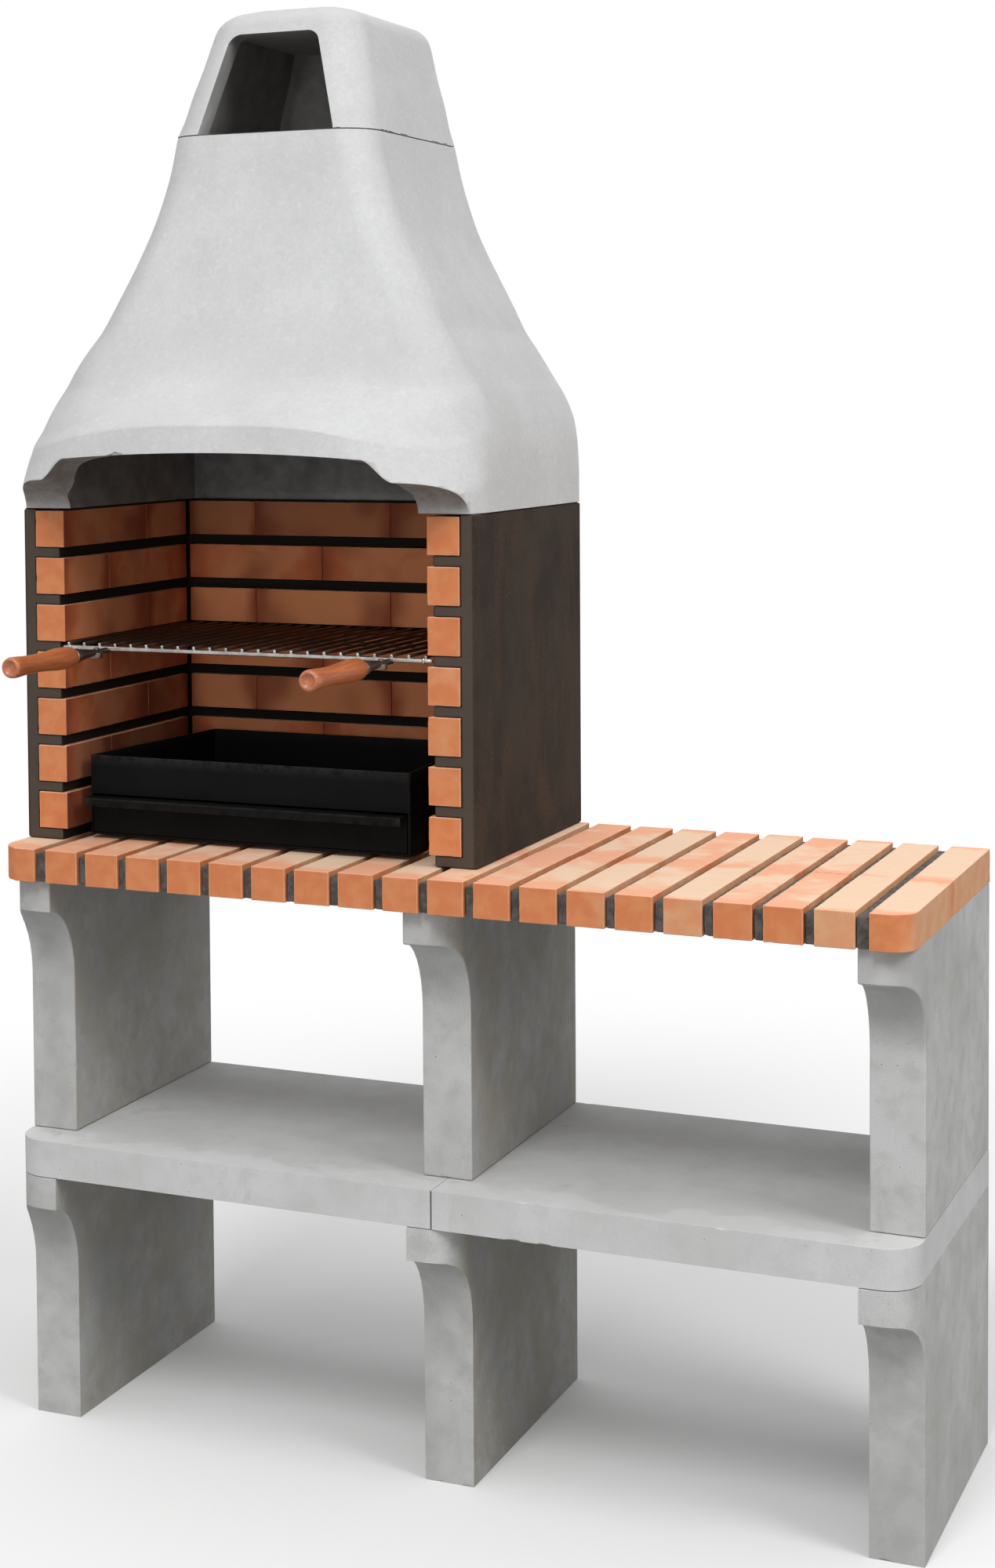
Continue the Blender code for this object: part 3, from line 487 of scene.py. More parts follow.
def brick_finish():
    """Fired clay: salmon, with buff clouds in the middle of each brick and redder ends."""
    salmon, light_salmon = (0.64, 0.200, 0.070), (0.68, 0.250, 0.098)
    buff, light_buff = (0.69, 0.335, 0.170), (0.71, 0.40, 0.225)
    inside_red, inside_buff = (0.74, 0.185, 0.060), (0.86, 0.315, 0.130)
    top_red, light_top_red = (0.79, 0.36, 0.215), (0.82, 0.42, 0.26)
    top_buff, light_top_buff = (0.79, 0.53, 0.36), (0.78, 0.59, 0.43)
    grain_brown, rubbed_and_highlit_clay, scorch_brown = (0.35, 0.12, 0.06), (0.88, 0.60, 0.43), (0.27, 0.050, 0.018)
    smoke_and_shade_brown, speck_brown = (0.08, 0.055, 0.040), (0.10, 0.05, 0.03)

    finish = Finish("fired_brick", {"Roughness": 0.86})
    place = finish.shifted()
    along = finish.attribute("along")
    inside = finish.attribute("inside")
    clouds = finish.clouds(0.045, 2, 0.45, place, 0.6)
    ends = finish.maths("POWER", along, 4.0)
    middle = finish.total((clouds, 1.1), (finish.attribute("tone"), 1.2), (ends, -0.8))
    patches = finish.clouds(0.075, 2, 0.5, place, 0.5)
    fine = finish.clouds(0.0022, 4, 0.7, place)
    grain = finish.clouds(0.0006, 2, 0.6, place)
    reds = finish.over(salmon, light_salmon, finish.clouds(0.02, 3, 0.5, place), 0.35, 0.7)
    buffs = finish.over(buff, light_buff, finish.clouds(0.03, 2, 0.5, place), 0.35, 0.7)
    # Faces toward the chamber start from brighter reds and buffs, which soot and painted shade darken further
    # down.
    reds = finish.mix(inside, reds, inside_red)
    buffs = finish.mix(inside, buffs, inside_buff)
    colour = finish.over(reds, buffs, middle, 0.40, 0.88)
    # Tops are paler than the faces: partly dust, partly a painted sheen of the sky.
    red_top = finish.mix(finish.clouds(0.03, 2, 0.5, place), top_red, light_top_red)
    buff_top = finish.mix(finish.clouds(0.02, 2, 0.5, place), top_buff, light_top_buff)
    top = finish.over(red_top, buff_top, finish.total((middle, 1.0), (patches, 1.3)), 1.15, 1.70)
    colour = finish.over(colour, top, finish.facing("Z"), 0.5, 0.95)
    colour = finish.over(colour, grain_brown, fine, 0.3, 0.75, 0.0, 0.10)
    # Rubbed arrises: partly wear, partly a painted highlight along the edge.
    worn_and_highlit = finish.times(finish.attribute("arris"), finish.between(fine, 0.25, 0.55, 0.15, 0.50))
    colour = finish.mix(worn_and_highlit, colour, rubbed_and_highlit_clay)
    hot_ends = finish.maths("POWER", along, 3.5)
    heat = finish.total((finish.clouds(0.080, 1, 0.5, place), 1.0), (hot_ends, 0.42))
    scorched = finish.times(inside, finish.between(heat, 0.50, 0.95, 0.0, 0.72))
    colour = finish.mix(scorched, colour, scorch_brown)
    # Soot and painted shade darken the faces toward the chamber, course by course.
    colour = finish.mix(finish.attribute("smoke_and_shade"), colour, smoke_and_shade_brown, "MULTIPLY")
    specks = finish.pits(0.006, 0.05, 0.14, 0.012, 0.60, 0.68, place)
    colour = finish.mix(finish.times(specks, 0.6), colour, speck_brown)
    height = finish.total((fine, 0.6), (grain, 0.4), (specks, -0.8))
    return finish.done(colour, finish.bump(height, 0.0004, 0.55))


def mortar_finish():
    """Dark sandy mortar, raked back from the bricks."""
    shadow_grey, earth_grey, sand = (0.055, 0.048, 0.042), (0.125, 0.112, 0.10), (0.20, 0.185, 0.17)

    finish = Finish("raked_mortar", {"Roughness": 0.93})
    patch = finish.clouds(0.012, 4, 0.65)
    fine = finish.clouds(0.0018, 4, 0.75)
    colour = finish.over(shadow_grey, earth_grey, patch, 0.35, 0.65)
    colour = finish.over(colour, sand, fine, 0.45, 0.8, 0.45)
    return finish.done(colour, finish.bump(finish.total((fine, 1.0), (patch, 2.0)), 0.0012, 0.8))


def concrete_finish():
    """Light grey cast concrete, mottled, with stains, damp and pin holes; a slab's top takes painted shade,
    and is paler along its front.
    """
    mid_grey, light_grey, patch_grey = (0.46, 0.46, 0.45), (0.575, 0.577, 0.575), (0.36, 0.356, 0.342)
    grain_grey, fresh_grey, painted_top_shade_grey = (0.32, 0.316, 0.303), (0.72, 0.722, 0.728), (0.30, 0.30, 0.30)
    pale_front_strip_grey, stain_brown, moss_olive = (0.80, 0.80, 0.81), (0.27, 0.245, 0.20), (0.42, 0.385, 0.290)
    damp_brown, pit_grey = (0.24, 0.225, 0.185), (0.10, 0.098, 0.09)

    finish = Finish("cast_concrete", {"Roughness": 0.88})
    fresh = finish.attribute("fresh")
    mossy = finish.attribute("mossy")
    patch = finish.clouds(0.035, 4, 0.6)
    fine = finish.clouds(0.0022, 4, 0.7)
    colour = finish.over(mid_grey, light_grey, finish.clouds(0.16, 3, 0.55), 0.35, 0.65)
    colour = finish.over(colour, patch_grey, patch, 0.42, 0.70, 0.45)
    colour = finish.over(colour, grain_grey, fine, 0.40, 0.75, 0.35)
    colour = finish.over(colour, fresh_grey, fresh, 0.0, 1.0, 0.42)
    # Painted shade on a slab's faces that point up.
    painted_top_shade = finish.times(fresh, finish.between(finish.facing("Z"), 0.3, 0.9, 0.0, 0.22))
    colour = finish.mix(painted_top_shade, colour, painted_top_shade_grey)
    # A paler grey over the front strip of a slab's top.
    depth = finish.add("ShaderNodeSeparateXYZ", {0: finish.place}).outputs["Y"]
    strip_depth = finish.total((depth, 1.0), (finish.clouds(0.07, 3, 0.5), 0.13))
    pale_front_strip = finish.times(painted_top_shade, finish.between(strip_depth, -0.112, -0.094, 0.85, 0.0))
    colour = finish.mix(pale_front_strip, colour, pale_front_strip_grey)
    stain = finish.clouds(0.09, 5, 0.7, finish.squeezed(1, 1, 0.35))
    colour = finish.over(colour, stain_brown, stain, 0.60, 0.72, 0.25)
    sideways = finish.between(finish.maths("ABSOLUTE", finish.facing("X")), 0.6, 0.9, 0.0, 0.62)
    moss = finish.between(finish.clouds(0.060, 6, 0.75, finish.squeezed(1, 1, 0.7)), 0.40, 0.60)
    colour = finish.mix(finish.times(moss, sideways, mossy), colour, moss_olive)
    damp = finish.between(finish.clouds(0.11, 5, 0.7), 0.50, 0.66)
    colour = finish.mix(finish.times(damp, mossy, 0.16), colour, damp_brown)
    pits = finish.pits(0.011, 0.04, 0.10, 0.03, 0.55, 0.60)
    colour = finish.mix(finish.times(pits, 0.75), colour, pit_grey)
    height = finish.total((fine, 0.6), (patch, 0.5), (pits, -1.6))
    return finish.done(colour, finish.bump(height, 0.0006, 0.5))


def refractory_finish():
    """Dark brown-grey refractory concrete with rust specks, paler on its fronts, and rubbed arrises that
    carry a painted highlight.
    """
    coal_brown, umber, streak_brown = (0.024, 0.018, 0.014), (0.044, 0.032, 0.024), (0.062, 0.036, 0.022)
    grain_brown, rust_brown, front_grey = (0.070, 0.057, 0.046), (0.105, 0.056, 0.028), (0.108, 0.086, 0.069)
    smoke_and_shade_black, rubbed_and_highlit_grey = (0.0060, 0.0036, 0.0025), (0.24, 0.215, 0.185)
    pit_black = (0.015, 0.012, 0.010)

    finish = Finish("refractory_concrete", {"Roughness": 0.95, "Specular IOR Level": 0.25})
    fine = finish.clouds(0.0016, 4, 0.75)
    streaks = finish.clouds(0.05, 4, 0.65, finish.squeezed(1, 1, 0.22))
    colour = finish.over(coal_brown, umber, finish.clouds(0.11, 4, 0.6), 0.35, 0.66)
    colour = finish.over(colour, streak_brown, streaks, 0.48, 0.70, 0.55)
    colour = finish.over(colour, grain_brown, fine, 0.42, 0.8, 0.4)
    specks = finish.between(finish.clouds(0.004, 4, 0.7), 0.54, 0.66)
    rust = finish.times(specks, finish.between(streaks, 0.42, 0.60), 0.75)
    colour = finish.mix(rust, colour, rust_brown)
    sideways = finish.maths("ABSOLUTE", finish.facing("X"))
    colour = finish.over(colour, front_grey, sideways, 0.05, 0.50, 0.0, 0.55)
    # Soot and painted shade darken the faces toward the chamber.
    colour = finish.mix(finish.attribute("smoke_and_shade"), colour, smoke_and_shade_black)
    # Rubbed arrises: wear, with a painted highlight along them.
    patch = finish.between(finish.clouds(0.012, 4, 0.7), 0.30, 0.60)
    colour = finish.mix(finish.times(finish.attribute("arris"), patch, 0.7), colour, rubbed_and_highlit_grey)
    pits = finish.pits(0.008, 0.03, 0.10, 0.02, 0.56, 0.62)
    colour = finish.mix(finish.times(pits, 0.7), colour, pit_black)
    return finish.done(colour, finish.bump(finish.total((fine, 1.0), (pits, -1.5)), 0.0008, 0.7))


def render_finish():
    """Smooth off-white cast concrete: painted shade facing up, smoke stain and painted shade facing down and
    in the cove, rubbed edges with a painted highlight, and soot inside the flue.
    """
    white, light_white, patch_grey = (0.61, 0.61, 0.61), (0.665, 0.667, 0.672), (0.54, 0.54, 0.54)
    blotch_grey, grain_grey, mottle_grey = (0.50, 0.495, 0.475), (0.46, 0.46, 0.455), (0.50, 0.50, 0.492)
    fleck_white, rubbed_and_highlit_white, black = (0.76, 0.76, 0.76), (0.90, 0.90, 0.90), (0.0, 0.0, 0.0)
    smoke_and_shade_brown, pit_grey, soot_grey = (0.13, 0.113, 0.094), (0.24, 0.24, 0.23), (0.10, 0.095, 0.088)

    finish = Finish("off_white_render", {"Roughness": 0.80})
    upward = finish.facing("Z")
    patch = finish.clouds(0.045, 5, 0.62)
    fine = finish.clouds(0.003, 4, 0.7)
    flecks = finish.clouds(0.0085, 2, 0.5, finish.squeezed(1, 1, 1.3))
    colour = finish.over(white, light_white, finish.clouds(0.20, 3, 0.5), 0.35, 0.65)
    colour = finish.over(colour, patch_grey, patch, 0.45, 0.72, 0.30)
    colour = finish.over(colour, blotch_grey, finish.clouds(0.014, 4, 0.7), 0.46, 0.70, 0.16)
    colour = finish.over(colour, grain_grey, fine, 0.48, 0.78, 0.30)
    colour = finish.over(colour, mottle_grey, finish.clouds(0.0065, 3, 0.6), 0.44, 0.62, 0.16)
    colour = finish.over(colour, fleck_white, flecks, 0.56, 0.70, 0.28)
    # Painted shade: faces that point up are darkened a little.
    colour = finish.over(colour, black, upward, 0.0, 0.5, 0.18)
    # Smoke stain and painted shade where the surface faces down, and in the cove under the visor.
    smoked_and_shaded = finish.between(upward, -0.75, -0.03, 0.75, 0.0)
    deep = finish.between(upward, -0.9, 0.0, 0.94, 0.50)
    uneven = finish.between(finish.clouds(0.018, 5, 0.7), 0.30, 0.70, 1.0, 0.80)
    hollow = finish.times(finish.attribute("cove"), deep, uneven)
    colour = finish.mix(finish.maths("MAXIMUM", smoked_and_shaded, hollow), colour, smoke_and_shade_brown)
    # Rubbed edges: wear, with a painted highlight along them.
    colour = finish.mix(finish.times(finish.attribute("worn_and_highlit"), 0.75), colour, rubbed_and_highlit_white)
    pits = finish.pits(0.012, 0.035, 0.075, 0.05, 0.60, 0.64)
    colour = finish.mix(finish.times(pits, 0.55), colour, pit_grey)
    soiled = finish.times(finish.attribute("soot"), finish.between(patch, 0.2, 0.8, 0.75, 1.0))
    colour = finish.mix(soiled, colour, soot_grey)
    return finish.done(colour, finish.bump(finish.total((fine, 0.5), (patch, 1.0)), 0.0006, 0.35))


def sheet_finish():
    """Matt black stoved paint on sheet steel, rubbed greyer along the folds, with a painted highlight there
    too.
    """
    paint_black, light_black, rubbed_and_highlit_grey = (0.0026,) * 3, (0.0042,) * 3, (0.035, 0.035, 0.034)

    finish = Finish("black_stove_paint", {"Roughness": 0.62, "Specular IOR Level": 0.07})
    fine = finish.clouds(0.0012, 3, 0.6)
    broad = finish.clouds(0.05, 3, 0.6)
    patch = finish.between(finish.clouds(0.01, 3, 0.6), 0.25, 0.6)
    # Along the folds: rubbed wear and a painted highlight.
    rub_and_highlight = finish.times(finish.attribute("arris"), patch, 0.6)
    colour = finish.mix(rub_and_highlight, finish.mix(broad, paint_black, light_black), rubbed_and_highlit_grey)
    return finish.done(colour, finish.bump(fine, 0.00015, 0.5), finish.between(broad, 0.3, 0.7, 0.52, 0.70))


def wire_finish():
    """Chromed wire, dulled, and browned where its attribute says so: partly by the fire, partly a painted
    reflection of the brick and the hood.
    """
    chrome, dull_chrome, burnt_and_reflected_brown = (0.46, 0.45, 0.43), (0.30, 0.28, 0.255), (0.11, 0.075, 0.055)

    finish = Finish("dulled_chrome", {"Roughness": 0.28, "Metallic": 1.0})
    browned_and_reflecting = finish.attribute("browned_and_reflecting")
    colour = finish.over(chrome, dull_chrome, finish.clouds(0.02, 3, 0.6), 0.35, 0.7)
    # Fire browning and a painted reflection of the brick and the hood.
    colour = finish.mix(browned_and_reflecting, colour, burnt_and_reflected_brown)
    scuffed = finish.between(finish.clouds(0.002, 3, 0.6), 0.3, 0.7, 0.26, 0.42)
    return finish.done(colour, roughness=finish.total((scuffed, 1.0), (browned_and_reflecting, 0.16)))


def wood_finish():
    """Turned beech under an orange-brown varnish, with grain along the grip."""
    beech, dark_beech, fleck_brown = (0.49, 0.152, 0.053), (0.36, 0.098, 0.032), (0.26, 0.065, 0.022)

    shares = {"Roughness": 0.42, "Coat Weight": 0.35, "Coat Roughness": 0.25}
    finish = Finish("varnished_grip_wood", shares)
    long_grain = finish.clouds(0.0035, 4, 0.6, finish.squeezed(1, 0.06, 1), 0.8)
    flecks = finish.clouds(0.0011, 3, 0.6, finish.squeezed(1, 0.10, 1))
    colour = finish.over(beech, dark_beech, long_grain, 0.35, 0.68)
    colour = finish.over(colour, fleck_brown, flecks, 0.55, 0.75, 0.45)
    return finish.done(colour, finish.bump(long_grain, 0.0002, 0.4))


finishes = {
    "brick": brick_finish(),
    "mortar": mortar_finish(),
    "concrete": concrete_finish(),
    "refractory": refractory_finish(),
    "render_coat": render_finish(),
    "black_sheet": sheet_finish(),
    "chromed_wire": wire_finish(),
    "varnished_wood": wood_finish(),
}


def dress(obj, slot, body, *replaced):
    """Give a piece its finish, let it ride on its body and stand for its CAD nodes."""
    obj.data.materials.clear()
    obj.data.materials.append(finishes[slot])
    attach(obj, body)
    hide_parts(*replaced)
    return obj


def cuts(length, cell, arris):
    """Places along a side: a few close to each end, where the arris rounds, and even ones between."""
    half = length / 2
    near = [0, 0.35 * arris, arris, 2 * arris]
    middle = half - near[-1]
    steps = max(1, round(2 * middle / cell))
    inner = [-middle + 2 * middle * step / steps for step in range(1, steps)]
    low = [-half + offset for offset in near]
    return low + inner + [-place for place in reversed(low)]


def worn_block(
    name, low, high, seed, cells=(0.007,) * 3, arris=brick_arris, grain=0.00012, chip=0.0012, corner=None
):
    """A block between two corners with rounded, chipped arrises. Its origin is in its middle.

    corner is (sign of x, sign of y, radius) of an upright corner that is rounded in plan.
    """
    size = [b - a for a, b in zip(low, high)]
    half = Vector(size) / 2
    lines = [cuts(length, cell, arris) for length, cell in zip(size, cells)]
    work = bmesh.new()
    made = {}

    def vertex(key):
        if key not in made:
            made[key] = work.verts.new([line[i] for line, i in zip(lines, key)])
        return made[key]

    for axis in range(3):
        u, v = (axis + 1) % 3, (axis + 2) % 3
        for end in (0, len(lines[axis]) - 1):
            for i in range(len(lines[u]) - 1):
                for j in range(len(lines[v]) - 1):
                    keys = []
                    for du, dv in ((0, 0), (1, 0), (1, 1), (0, 1)):
                        key = [0, 0, 0]
                        key[axis], key[u], key[v] = end, i + du, j + dv
                        keys.append(vertex(tuple(key)))
                    work.faces.new(keys if end else list(reversed(keys)))
    start = seeded(seed)
    inner = Vector([h - arris for h in half])
    for point in work.verts:
        flat = point.co.copy()
        edge = sorted(h - abs(c) for h, c in zip(half, flat))[1]
        past = Vector([c - max(-i, min(i, c)) for c, i in zip(flat, inner)])
        at_corner = corner and flat.x * corner[0] > 0 and flat.y * corner[1] > 0
        if at_corner:
            reach = max(abs(past.x), abs(past.y))
            total = math.hypot(reach, past.z)
            if reach and past.z:
                past *= arris / total
        elif past.length > arris:
            past *= arris / past.length
        flat = Vector([max(-i, min(i, c)) for c, i in zip(flat, inner)]) + past
        wear = math.exp(-((edge / (3 * arris)) ** 2))
        loss = max(0, noise.noise(flat * chip_noise + start) - chip_threshold) * chip * wear
        loss += grain * (0.5 + 0.5 * noise.noise(flat * grain_noise + start))
        loss += 2 * grain * (0.5 + 0.5 * noise.noise(flat * sway_noise - start))
        away = Vector([c / h if h - abs(c) < 2 * arris else 0 for c, h in zip(flat, half)])
        flat -= away.normalized() * loss if away.length else away
        if at_corner:
            radius = corner[2]
            centre = Vector((corner[0] * (half.x - radius), corner[1] * (half.y - radius)))
            outward = flat.xy - centre
            if outward.x * corner[0] > 0 and outward.y * corner[1] > 0:
                turned = centre + outward.normalized() * max(abs(outward.x), abs(outward.y))
                flat.x, flat.y = turned
        point.co = flat
    obj = object_from(name, work)
    obj.data.shade_smooth()
    obj.location = [(a + b) / 2 for a, b in zip(low, high)]
    return obj


def put(mesh, name, values):
    """Give each vertex its number, or all of them the same one."""
    values = np.broadcast_to(np.asarray(values, np.float32), len(mesh.vertices))
    mesh.attributes.new(name, "FLOAT", "POINT").data.foreach_set("value", np.ascontiguousarray(values))


def merged(name, objects):
    """One piece from several blocks, each of which keeps its own attributes."""
    with bpy.context.temp_override(
        active_object=objects[0], selected_editable_objects=objects, selected_objects=objects
    ):
        bpy.ops.object.join()
    objects[0].name = name
    return objects[0]


def brick(low, high, seed, tone, axis, corner=None, smoked_and_shaded=None):
    """One fired brick. axis is the direction of its length: 0 for X and 1 for Y.

    The last argument is the direction of its face that takes soot and painted shade, and how much of both.
    """
    obj = worn_block("brick", low, high, seed, corner=corner)
    mesh = obj.data
    points = vertex_values(mesh, "co")
    half = (high[axis] - low[axis]) / 2
    sides = np.array([(b - a) / 2 for a, b in zip(low, high)])
    near = np.sort(sides - np.abs(points), axis=1)[:, 1]
    arris = np.clip(1 - near / (arris_reach * brick_arris), 0, 1).astype(np.float32)
    facing = np.zeros(len(points), np.float32)
    if smoked_and_shaded:
        facing = np.clip(vertex_values(mesh, "normal") @ np.array(smoked_and_shaded[0]), 0, 1).astype(np.float32)
    put(mesh, "along", np.abs(points[:, axis]) / half)
    put(mesh, "tone", tone)
    put(mesh, "seed", random.Random(seed).random())
    put(mesh, "arris", arris * (1 - np.clip(2 * facing, 0, 1)))
    put(mesh, "inside", facing)
    put(mesh, "smoke_and_shade", facing * (smoked_and_shaded[1] if smoked_and_shaded else 0))
    return obj


def build_worktop():
    """Each row is two bricks end to end, a little out of line with its neighbours."""
    source = random.Random(seeds["rows"])
    corners = {1: (-1, -1, left_row_corner), len(row_buff_shares): (1, -1, right_row_corner)}
    for number, buff in enumerate(row_buff_shares, start=1):
        node = "worktop_row_%02d" % number
        low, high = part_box(node)
        butt = low[1] + brick_length
        bricks = []
        for place, (front, back) in enumerate([(low[1], butt), (butt + butt_joint, high[1])]):
            drift = source.uniform(0, row_drift)
            start = (low[0] + drift, front, low[2])
            end = (high[0] - drift, back, high[2] - source.uniform(0, row_sink))
            tone = buff + (source.uniform(*back_brick_tones) if place else 0)
            corner = None if place else corners.get(number)
            bricks.append(brick(start, end, 100 * number + place, tone, 1, corner))
        dress(merged("row_%02d_bricks" % number, bricks), "brick", "masonry", node)


def build_courses():
    """The chamber's brick courses, with the butt joints where each bond has them."""
    source = random.Random(seeds["courses"])
    for side in ("left", "right", "back"):
        axis = 0 if side == "back" else 1
        for number, smoke_and_shade in enumerate(course_smoke_and_shade_shares[side], start=1):
            node = "course_%s_%d" % (side, number)
            low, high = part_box(node)
            long_first = number % 2 == 1
            if side == "back":
                place = low[0] + (brick_length / 2 if long_first else brick_length)
                butts = []
                while place < high[0] - brick_length / 4:
                    butts.append(place)
                    place += brick_length
            else:
                butts = [low[1] + brick_length if long_first else high[1] - brick_length]
            starts = [low[axis]] + [butt + butt_joint for butt in butts]
            bricks = []
            for place, (start, end) in enumerate(zip(starts, butts + [high[axis]])):
                low_corner = list(low)
                high_corner = list(high)
                low_corner[axis] = start
                high_corner[axis] = end
                seed = seeds[side] + 100 * number + place
                drift = source.uniform(-course_tone_drift, course_tone_drift)
                tone = course_buff_shares[side][number - 1] + drift
                # Soot and painted shade on the face toward the chamber, as much as the course's share.
                smoked_and_shaded = (inward[side], smoke_and_shade)
                bricks.append(brick(low_corner, high_corner, seed, tone, axis, None, smoked_and_shaded))
            dress(merged("%s_course_%d_bricks" % (side, number), bricks), "brick", "masonry", node)


def build_worktop_mortar():
    """Raked ribs between the rows, over a bed that shows from below."""
    low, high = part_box("worktop_mortar")
    rows = [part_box("worktop_row_%02d" % number) for number in range(1, len(row_buff_shares) + 1)]
    pieces = []
    for number, (left, right) in enumerate(zip(rows, rows[1:])):
        start = (left[1][0] + seat_gap, low[1], low[2])
        end = (right[0][0] - seat_gap, high[1], high[2])
        seed = seeds["rib"] + number
        pieces.append(worn_block("rib", start, end, seed, rib_cells, arris=0.0012, grain=0.0007, chip=0.004))
    start = (low[0], rows[0][0][1] + bed_inset, low[2] - seat_gap / 2)
    end = (high[0], rows[0][1][1] - bed_inset, low[2] + bed_thickness)
    bed = worn_block("bed", start, end, seeds["row_bed"], (0.014,) * 3, arris=0.001, grain=0.00004, chip=0)
    pieces.append(bed)
    dress(merged("raked_mortar", pieces), "mortar", "masonry", "worktop_mortar")


def applied(obj):
    """The object with its modifiers turned into mesh."""
    bpy.context.view_layer.update()
    shape = obj.evaluated_get(bpy.context.evaluated_depsgraph_get())
    mesh = bpy.data.meshes.new_from_object(shape)
    obj.modifiers.clear()
    obj.data = mesh
    return obj


def vertex_values(mesh, kind):
    values = np.empty(len(mesh.vertices) * 3, np.float32)
    source = mesh.vertices if kind == "co" else mesh.vertex_normals
    source.foreach_get("co" if kind == "co" else "vector", values)
    return values.reshape(-1, 3)


def cast(node, name, seed, arris, chips, trim=None):
    """A node's own shape with rounded arrises, and a chip here and there along them.

    trim is (axis, end, amount): how far the low (0) or high (1) end stands back from the node's own.
    """
    mesh = nodes[node].data.copy()
    obj = new_object(name, mesh)
    source = random.Random(seed)
    work = bmesh.new()
    work.from_mesh(mesh)
    bmesh.ops.remove_doubles(work, verts=work.verts, dist=same_point)
    bmesh.ops.dissolve_limit(work, angle_limit=math.radians(1), verts=work.verts, edges=work.edges)
    if trim:
        axis, end, amount = trim
        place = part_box(node)[end][axis]
        for vertex in work.verts:
            if abs(vertex.co[axis] - place) < end_reach:
                vertex.co[axis] += amount * (1 - 2 * end)
    long_edges = []
    for edge in work.edges:
        sharp = len(edge.link_faces) == 2 and edge.calc_face_angle() > chip_edge_angle
        if sharp and edge.calc_length() > chip_edge_length:
            outward = (edge.link_faces[0].normal + edge.link_faces[1].normal).normalized()
            long_edges.append([vertex.co.copy() for vertex in edge.verts] + [outward])
    work.to_mesh(mesh)
    work.free()
    bevelled(obj, arris)
    tools = []
    for number in range(chips):
        start, end, outward = source.choice(long_edges)
        place = start.lerp(end, source.uniform(0.03, 0.97)) + outward * chip_lift
        along = (end - start).normalized()
        depth = source.uniform(*cast_chip_depths)
        radii = [depth + abs(along[i]) * depth * source.uniform(0.8, 3.0) for i in range(3)]
        tools.append(chip_tool(place, radii, seed + seeds["cast_chip"] + number))
    chipped(obj, tools)
    return settled(obj)


def build_cast_concrete():
    """The legs, the shelf and the panels: their own shapes, with worn arrises and an uneven face."""
    for number, storey in enumerate(("lower", "upper")):
        for place, side in enumerate(("left", "middle", "right")):
            node = "leg_%s_%s" % (storey, side)
            trim = (2, 1, leg_joint) if storey == "lower" else None
            leg = cast(node, node + "_cast", seeds["leg"] + 10 * number + place, leg_arris, leg_chips, trim)
            put(leg.data, "mossy", mossy_shares[side])
            dress(leg, "concrete", "masonry", node)
    for place, side in enumerate(("left", "right")):
        node = "shelf_" + side
        trim = (0, 1 - place, slab_joint_half)
        slab = cast(node, node + "_slab", seeds["slab"] + place, slab_arris, slab_chips, trim)
        put(slab.data, "fresh", 1)
        dress(slab, "concrete", "masonry", node)
    for place, side in enumerate(("left", "back", "right")):
        node = "panel_" + side
        panel = cast(node, node + "_cast", seeds["panel"] + place, panel_arris, panel_chips)
        # Faces toward the chamber take soot and painted shade.
        facing = vertex_values(panel.data, "normal") @ np.array(inward[side])
        put(panel.data, "smoke_and_shade", panel_smoke_and_shade_share * np.clip(1.4 * facing, 0, 1))
        dress(panel, "refractory", "masonry", node)


def curve_value(places, values, place):
    """A smooth curve through the values that never overshoots them."""
    steps = [(v1 - v0) / (p1 - p0) for p0, p1, v0, v1 in zip(places, places[1:], values, values[1:])]
    slopes = [steps[0]]
    for before, after in zip(steps, steps[1:]):
        slopes.append(0 if before * after <= 0 else 2 * before * after / (before + after))
    slopes.append(steps[-1])
    place = max(places[0], min(places[-1], place))
    i = max(j for j in range(len(places) - 1) if places[j] <= place)
    width = places[i + 1] - places[i]
    t = (place - places[i]) / width
    return (
        values[i] * (1 + 2 * t) * (1 - t) ** 2
        + values[i + 1] * t * t * (3 - 2 * t)
        + width * (slopes[i] * t * (1 - t) ** 2 - slopes[i + 1] * t * t * (1 - t))
    )


def arc(centre, radii, start, end, steps):
    points = []
    for step in range(steps + 1):
        angle = math.radians(start + (end - start) * step / steps)
        points.append((centre[0] + radii[0] * math.cos(angle), centre[1] + radii[1] * math.sin(angle)))
    return points


def bell_plan(half, front, back, corner, rear):
    """Plan of one section about x = 0: rounded at the front, nearly sharp at the back."""
    corner = min(corner, half)
    outline = [(x * (half - corner) / 12, front) for x in range(-11, 12)]
    outline += arc((half - corner, front + corner), (corner, corner), 270, 360, 20)
    outline += [(half, mixed(step / 8, front + corner, back - rear)) for step in range(1, 8)]
    outline += [(half, back - rear), (half - rear, back)]
    outline += [(rear - half, back), (-half, back - rear)]
    outline += [(-half, mixed(step / 8, back - rear, front + corner)) for step in range(1, 8)]
    outline += arc((corner - half, front + corner), (corner, corner), 180, 270, 20)
    return outline


def circle(centre, side, up, radius, sides):
    """Points round a centre, in the plane of two directions."""
    turns = [2 * math.pi * step / sides for step in range(sides)]
    return [centre + radius * (math.cos(turn) * side + math.sin(turn) * up) for turn in turns]


def loft(name, rings, closed=False):
    """Walls through rings of points. The first and last rings are capped, or joined where it is closed."""
    work = bmesh.new()
    loops = [[work.verts.new(point) for point in ring] for ring in rings]
    count = len(loops[0])
    for lower, upper in zip(loops, loops[1:] + loops[:1] if closed else loops[1:]):
        for i in range(count):
            j = (i + 1) % count
            work.faces.new((lower[i], lower[j], upper[j], upper[i]))
    if not closed:
        work.faces.new(list(reversed(loops[0])))
        work.faces.new(loops[-1])
    bmesh.ops.recalc_face_normals(work, faces=work.faces)
    return object_from(name, work)


